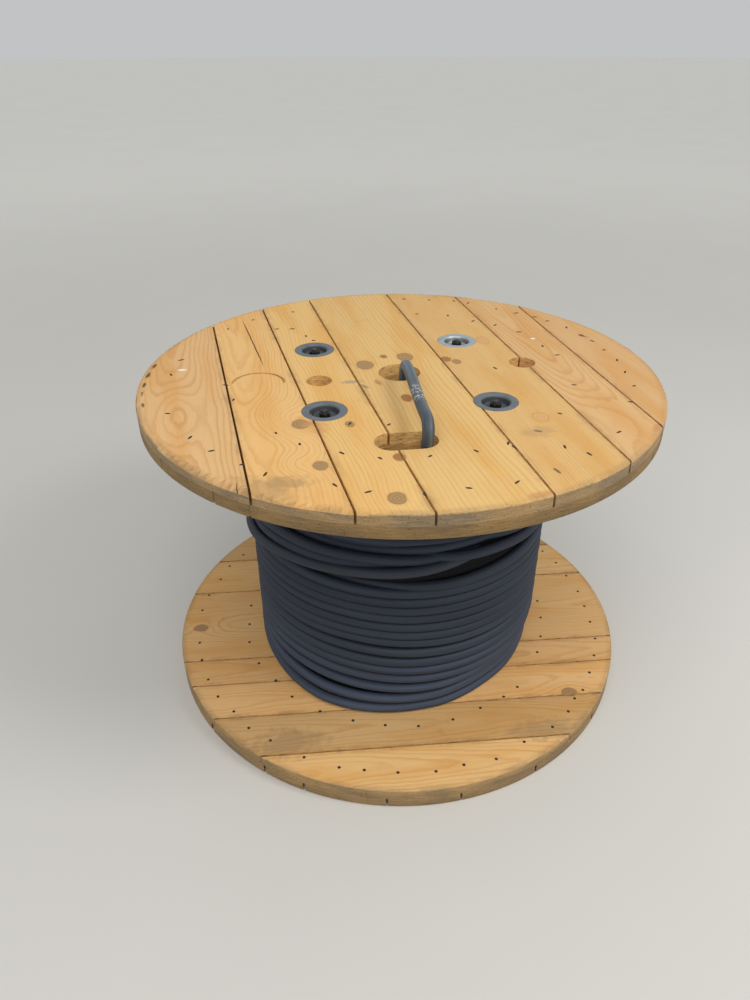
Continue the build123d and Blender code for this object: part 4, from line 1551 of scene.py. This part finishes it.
class CableEnd:
    """The cable's inner end: up through the starter slot, over the flange, down the arbor hole."""

    route = (
        (0.051, -0.2925, 0.6137),
        (0.051, -0.2925, 0.648),
        (0.0535, -0.300, 0.681),
        (0.0515, -0.279, 0.6965),
        (0.0445, -0.237, 0.693),
        (0.035, -0.181, 0.6935),
        (0.026, -0.124, 0.6965),
        (0.0165, -0.066, 0.6975),
        (0.011, -0.022, 0.685),
        (0.009, -0.006, 0.650),
        (0.009, -0.0025, 0.612),
        (0.012, 0.003, 0.574),
    )
    length = 0.465
    sides = 28

    def middle_line(self) -> Array:
        """Points of the smooth line that the route's points pull."""
        curve = bpy.data.curves.new("cable_route", "CURVE")
        curve.dimensions = "3D"
        curve.resolution_u = 12
        spline = curve.splines.new("NURBS")
        spline.points.add(len(self.route) - 1)
        route = np.column_stack([np.array(self.route), np.ones(len(self.route))])
        spline.points.foreach_set("co", route.ravel())
        spline.order_u = 3
        spline.use_endpoint_u = True
        holder = bpy.data.objects.new("cable_route", curve)
        mesh = bpy.data.meshes.new_from_object(holder)
        points = np.zeros(len(mesh.vertices) * 3)
        mesh.vertices.foreach_get("co", points)
        bpy.data.meshes.remove(mesh)
        bpy.data.objects.remove(holder)
        bpy.data.curves.remove(curve)
        return points.reshape(-1, 3)

    def make(self) -> bpy.types.Object:
        line = self.middle_line()
        aside = np.broadcast_to(np.array([1.0, 0.0, 0.0]), line.shape)
        tones = linear(66, 75, 84), linear(96, 104, 110), linear(188, 188, 182)
        sheath = SheathFinish(*tones, 0.6, 0.5, scuffed_at=(-0.187, 0.036)).material("sheath_end")
        skin = tube(line, aside, np.full(len(line), SIZES.cable / 2), self.sides)
        piece = declared(skin.piece("cable_end", sheath), "cable_tail")
        return piece


class Studio:
    """Plain pale floor, soft light, and a camera where the photograph was taken from."""

    place = (0.02066, -1.38237, 1.24676)
    pitch = 0.56985
    yaw = -0.04993
    roll = -0.00353
    lens = 27.235
    floor_colour = linear(214, 212, 206)
    floor_radius = 30.0
    sky_colour = (0.97, 0.985, 1.0, 1.0)
    lamp_colour = (1.0, 0.985, 0.955)
    ambient = 0.55
    mirrored = 0.86
    aim = Vector((0.0, 0.0, 0.5))
    lamps = (("key", 1.3, 44.0, (2.2, -0.9, 2.9)), ("fill", 2.8, 46.0, (-0.5, -2.2, 3.3)))

    def floor(self) -> None:
        """A wide floor with faint unevenness."""
        sheet = Recipe("floor_pale")
        x, y, _ = sheet.place.split()
        even = (x * x + y * y).root().fade(1.0, 7.0, 0.96, 1.4)
        cloud = sheet.place.noise(1.6, 4.0) * 0.06 + 0.97
        finish = sheet.finish(sheet.times(self.floor_colour, even * cloud), 0.85)
        disc = np.array([(self.floor_radius, 0.0), (0.0, 0.0)])
        lathe(disc, (0.0, 0.0), 64, closed=False).piece("floor", finish)

    def light(self) -> None:
        """A soft lamp from the upper right, a wide one in front and above, and an even sky."""
        world = bpy.data.worlds.new("pale_room")
        bpy.context.scene.world = world
        world.use_nodes = True
        nodes, links = world.node_tree.nodes, world.node_tree.links
        background = nodes["Background"]
        rays = nodes.new("ShaderNodeLightPath")
        strength = nodes.new("ShaderNodeMapRange")
        strength.inputs[3].default_value = self.ambient
        strength.inputs[4].default_value = self.mirrored
        links.new(rays.outputs["Is Glossy Ray"], strength.inputs[0])
        links.new(strength.outputs[0], background.inputs["Strength"])
        background.inputs["Color"].default_value = self.sky_colour
        for name, size, energy, place in self.lamps:
            lamp = bpy.data.lights.new(name, "AREA")
            lamp.shape = "DISK"
            lamp.size = size
            lamp.energy = energy
            lamp.color = self.lamp_colour
            source = bpy.data.objects.new(name, lamp)
            source.location = place
            view = self.aim - source.location
            source.rotation_euler = view.to_track_quat("-Z", "Y").to_euler()
            bpy.context.scene.collection.objects.link(source)

    def camera(self) -> None:
        """The photograph's camera.

        Formula: the view runs along the cosine of the pitch times the yaw's direction, and down by
        the sine of the pitch. The right and up directions turn round it by the roll.
        """
        ahead, aside = math.cos(self.yaw), math.sin(self.yaw)
        flat = math.cos(self.pitch)
        forward = Vector((aside * flat, ahead * flat, -math.sin(self.pitch)))
        level = Vector((ahead, -aside, 0.0))
        above = level.cross(forward)
        right = level * math.cos(self.roll) + above * math.sin(self.roll)
        up = above * math.cos(self.roll) - level * math.sin(self.roll)
        lens = bpy.data.cameras.new("camera")
        lens.lens = self.lens
        camera = bpy.data.objects.new("camera", lens)
        turned = Matrix((right, up, -forward)).transposed().to_4x4()
        camera.matrix_world = Matrix.Translation(self.place) @ turned
        bpy.context.scene.collection.objects.link(camera)
        bpy.context.scene.camera = camera


def main() -> None:
    """Build the scene's pieces in order."""
    logging.basicConfig(level=logging.INFO, format="%(name)s: %(message)s")
    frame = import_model()
    nodes = frame["nodes"]
    bpy.context.scene.view_settings.view_transform = "Standard"
    studio = Studio()
    studio.camera()
    studio.floor()
    studio.light()
    pieces = [CableEnd().make()]
    pieces += Winding().make()
    pieces += Flanges(nodes).dress()
    pieces += Fixings(nodes).make()
    pieces += Nails().make()
    for piece in pieces:
        LOG.info("%s: %d faces", piece.name, len(piece.data.polygons))


if __name__ == "__main__":
    main()
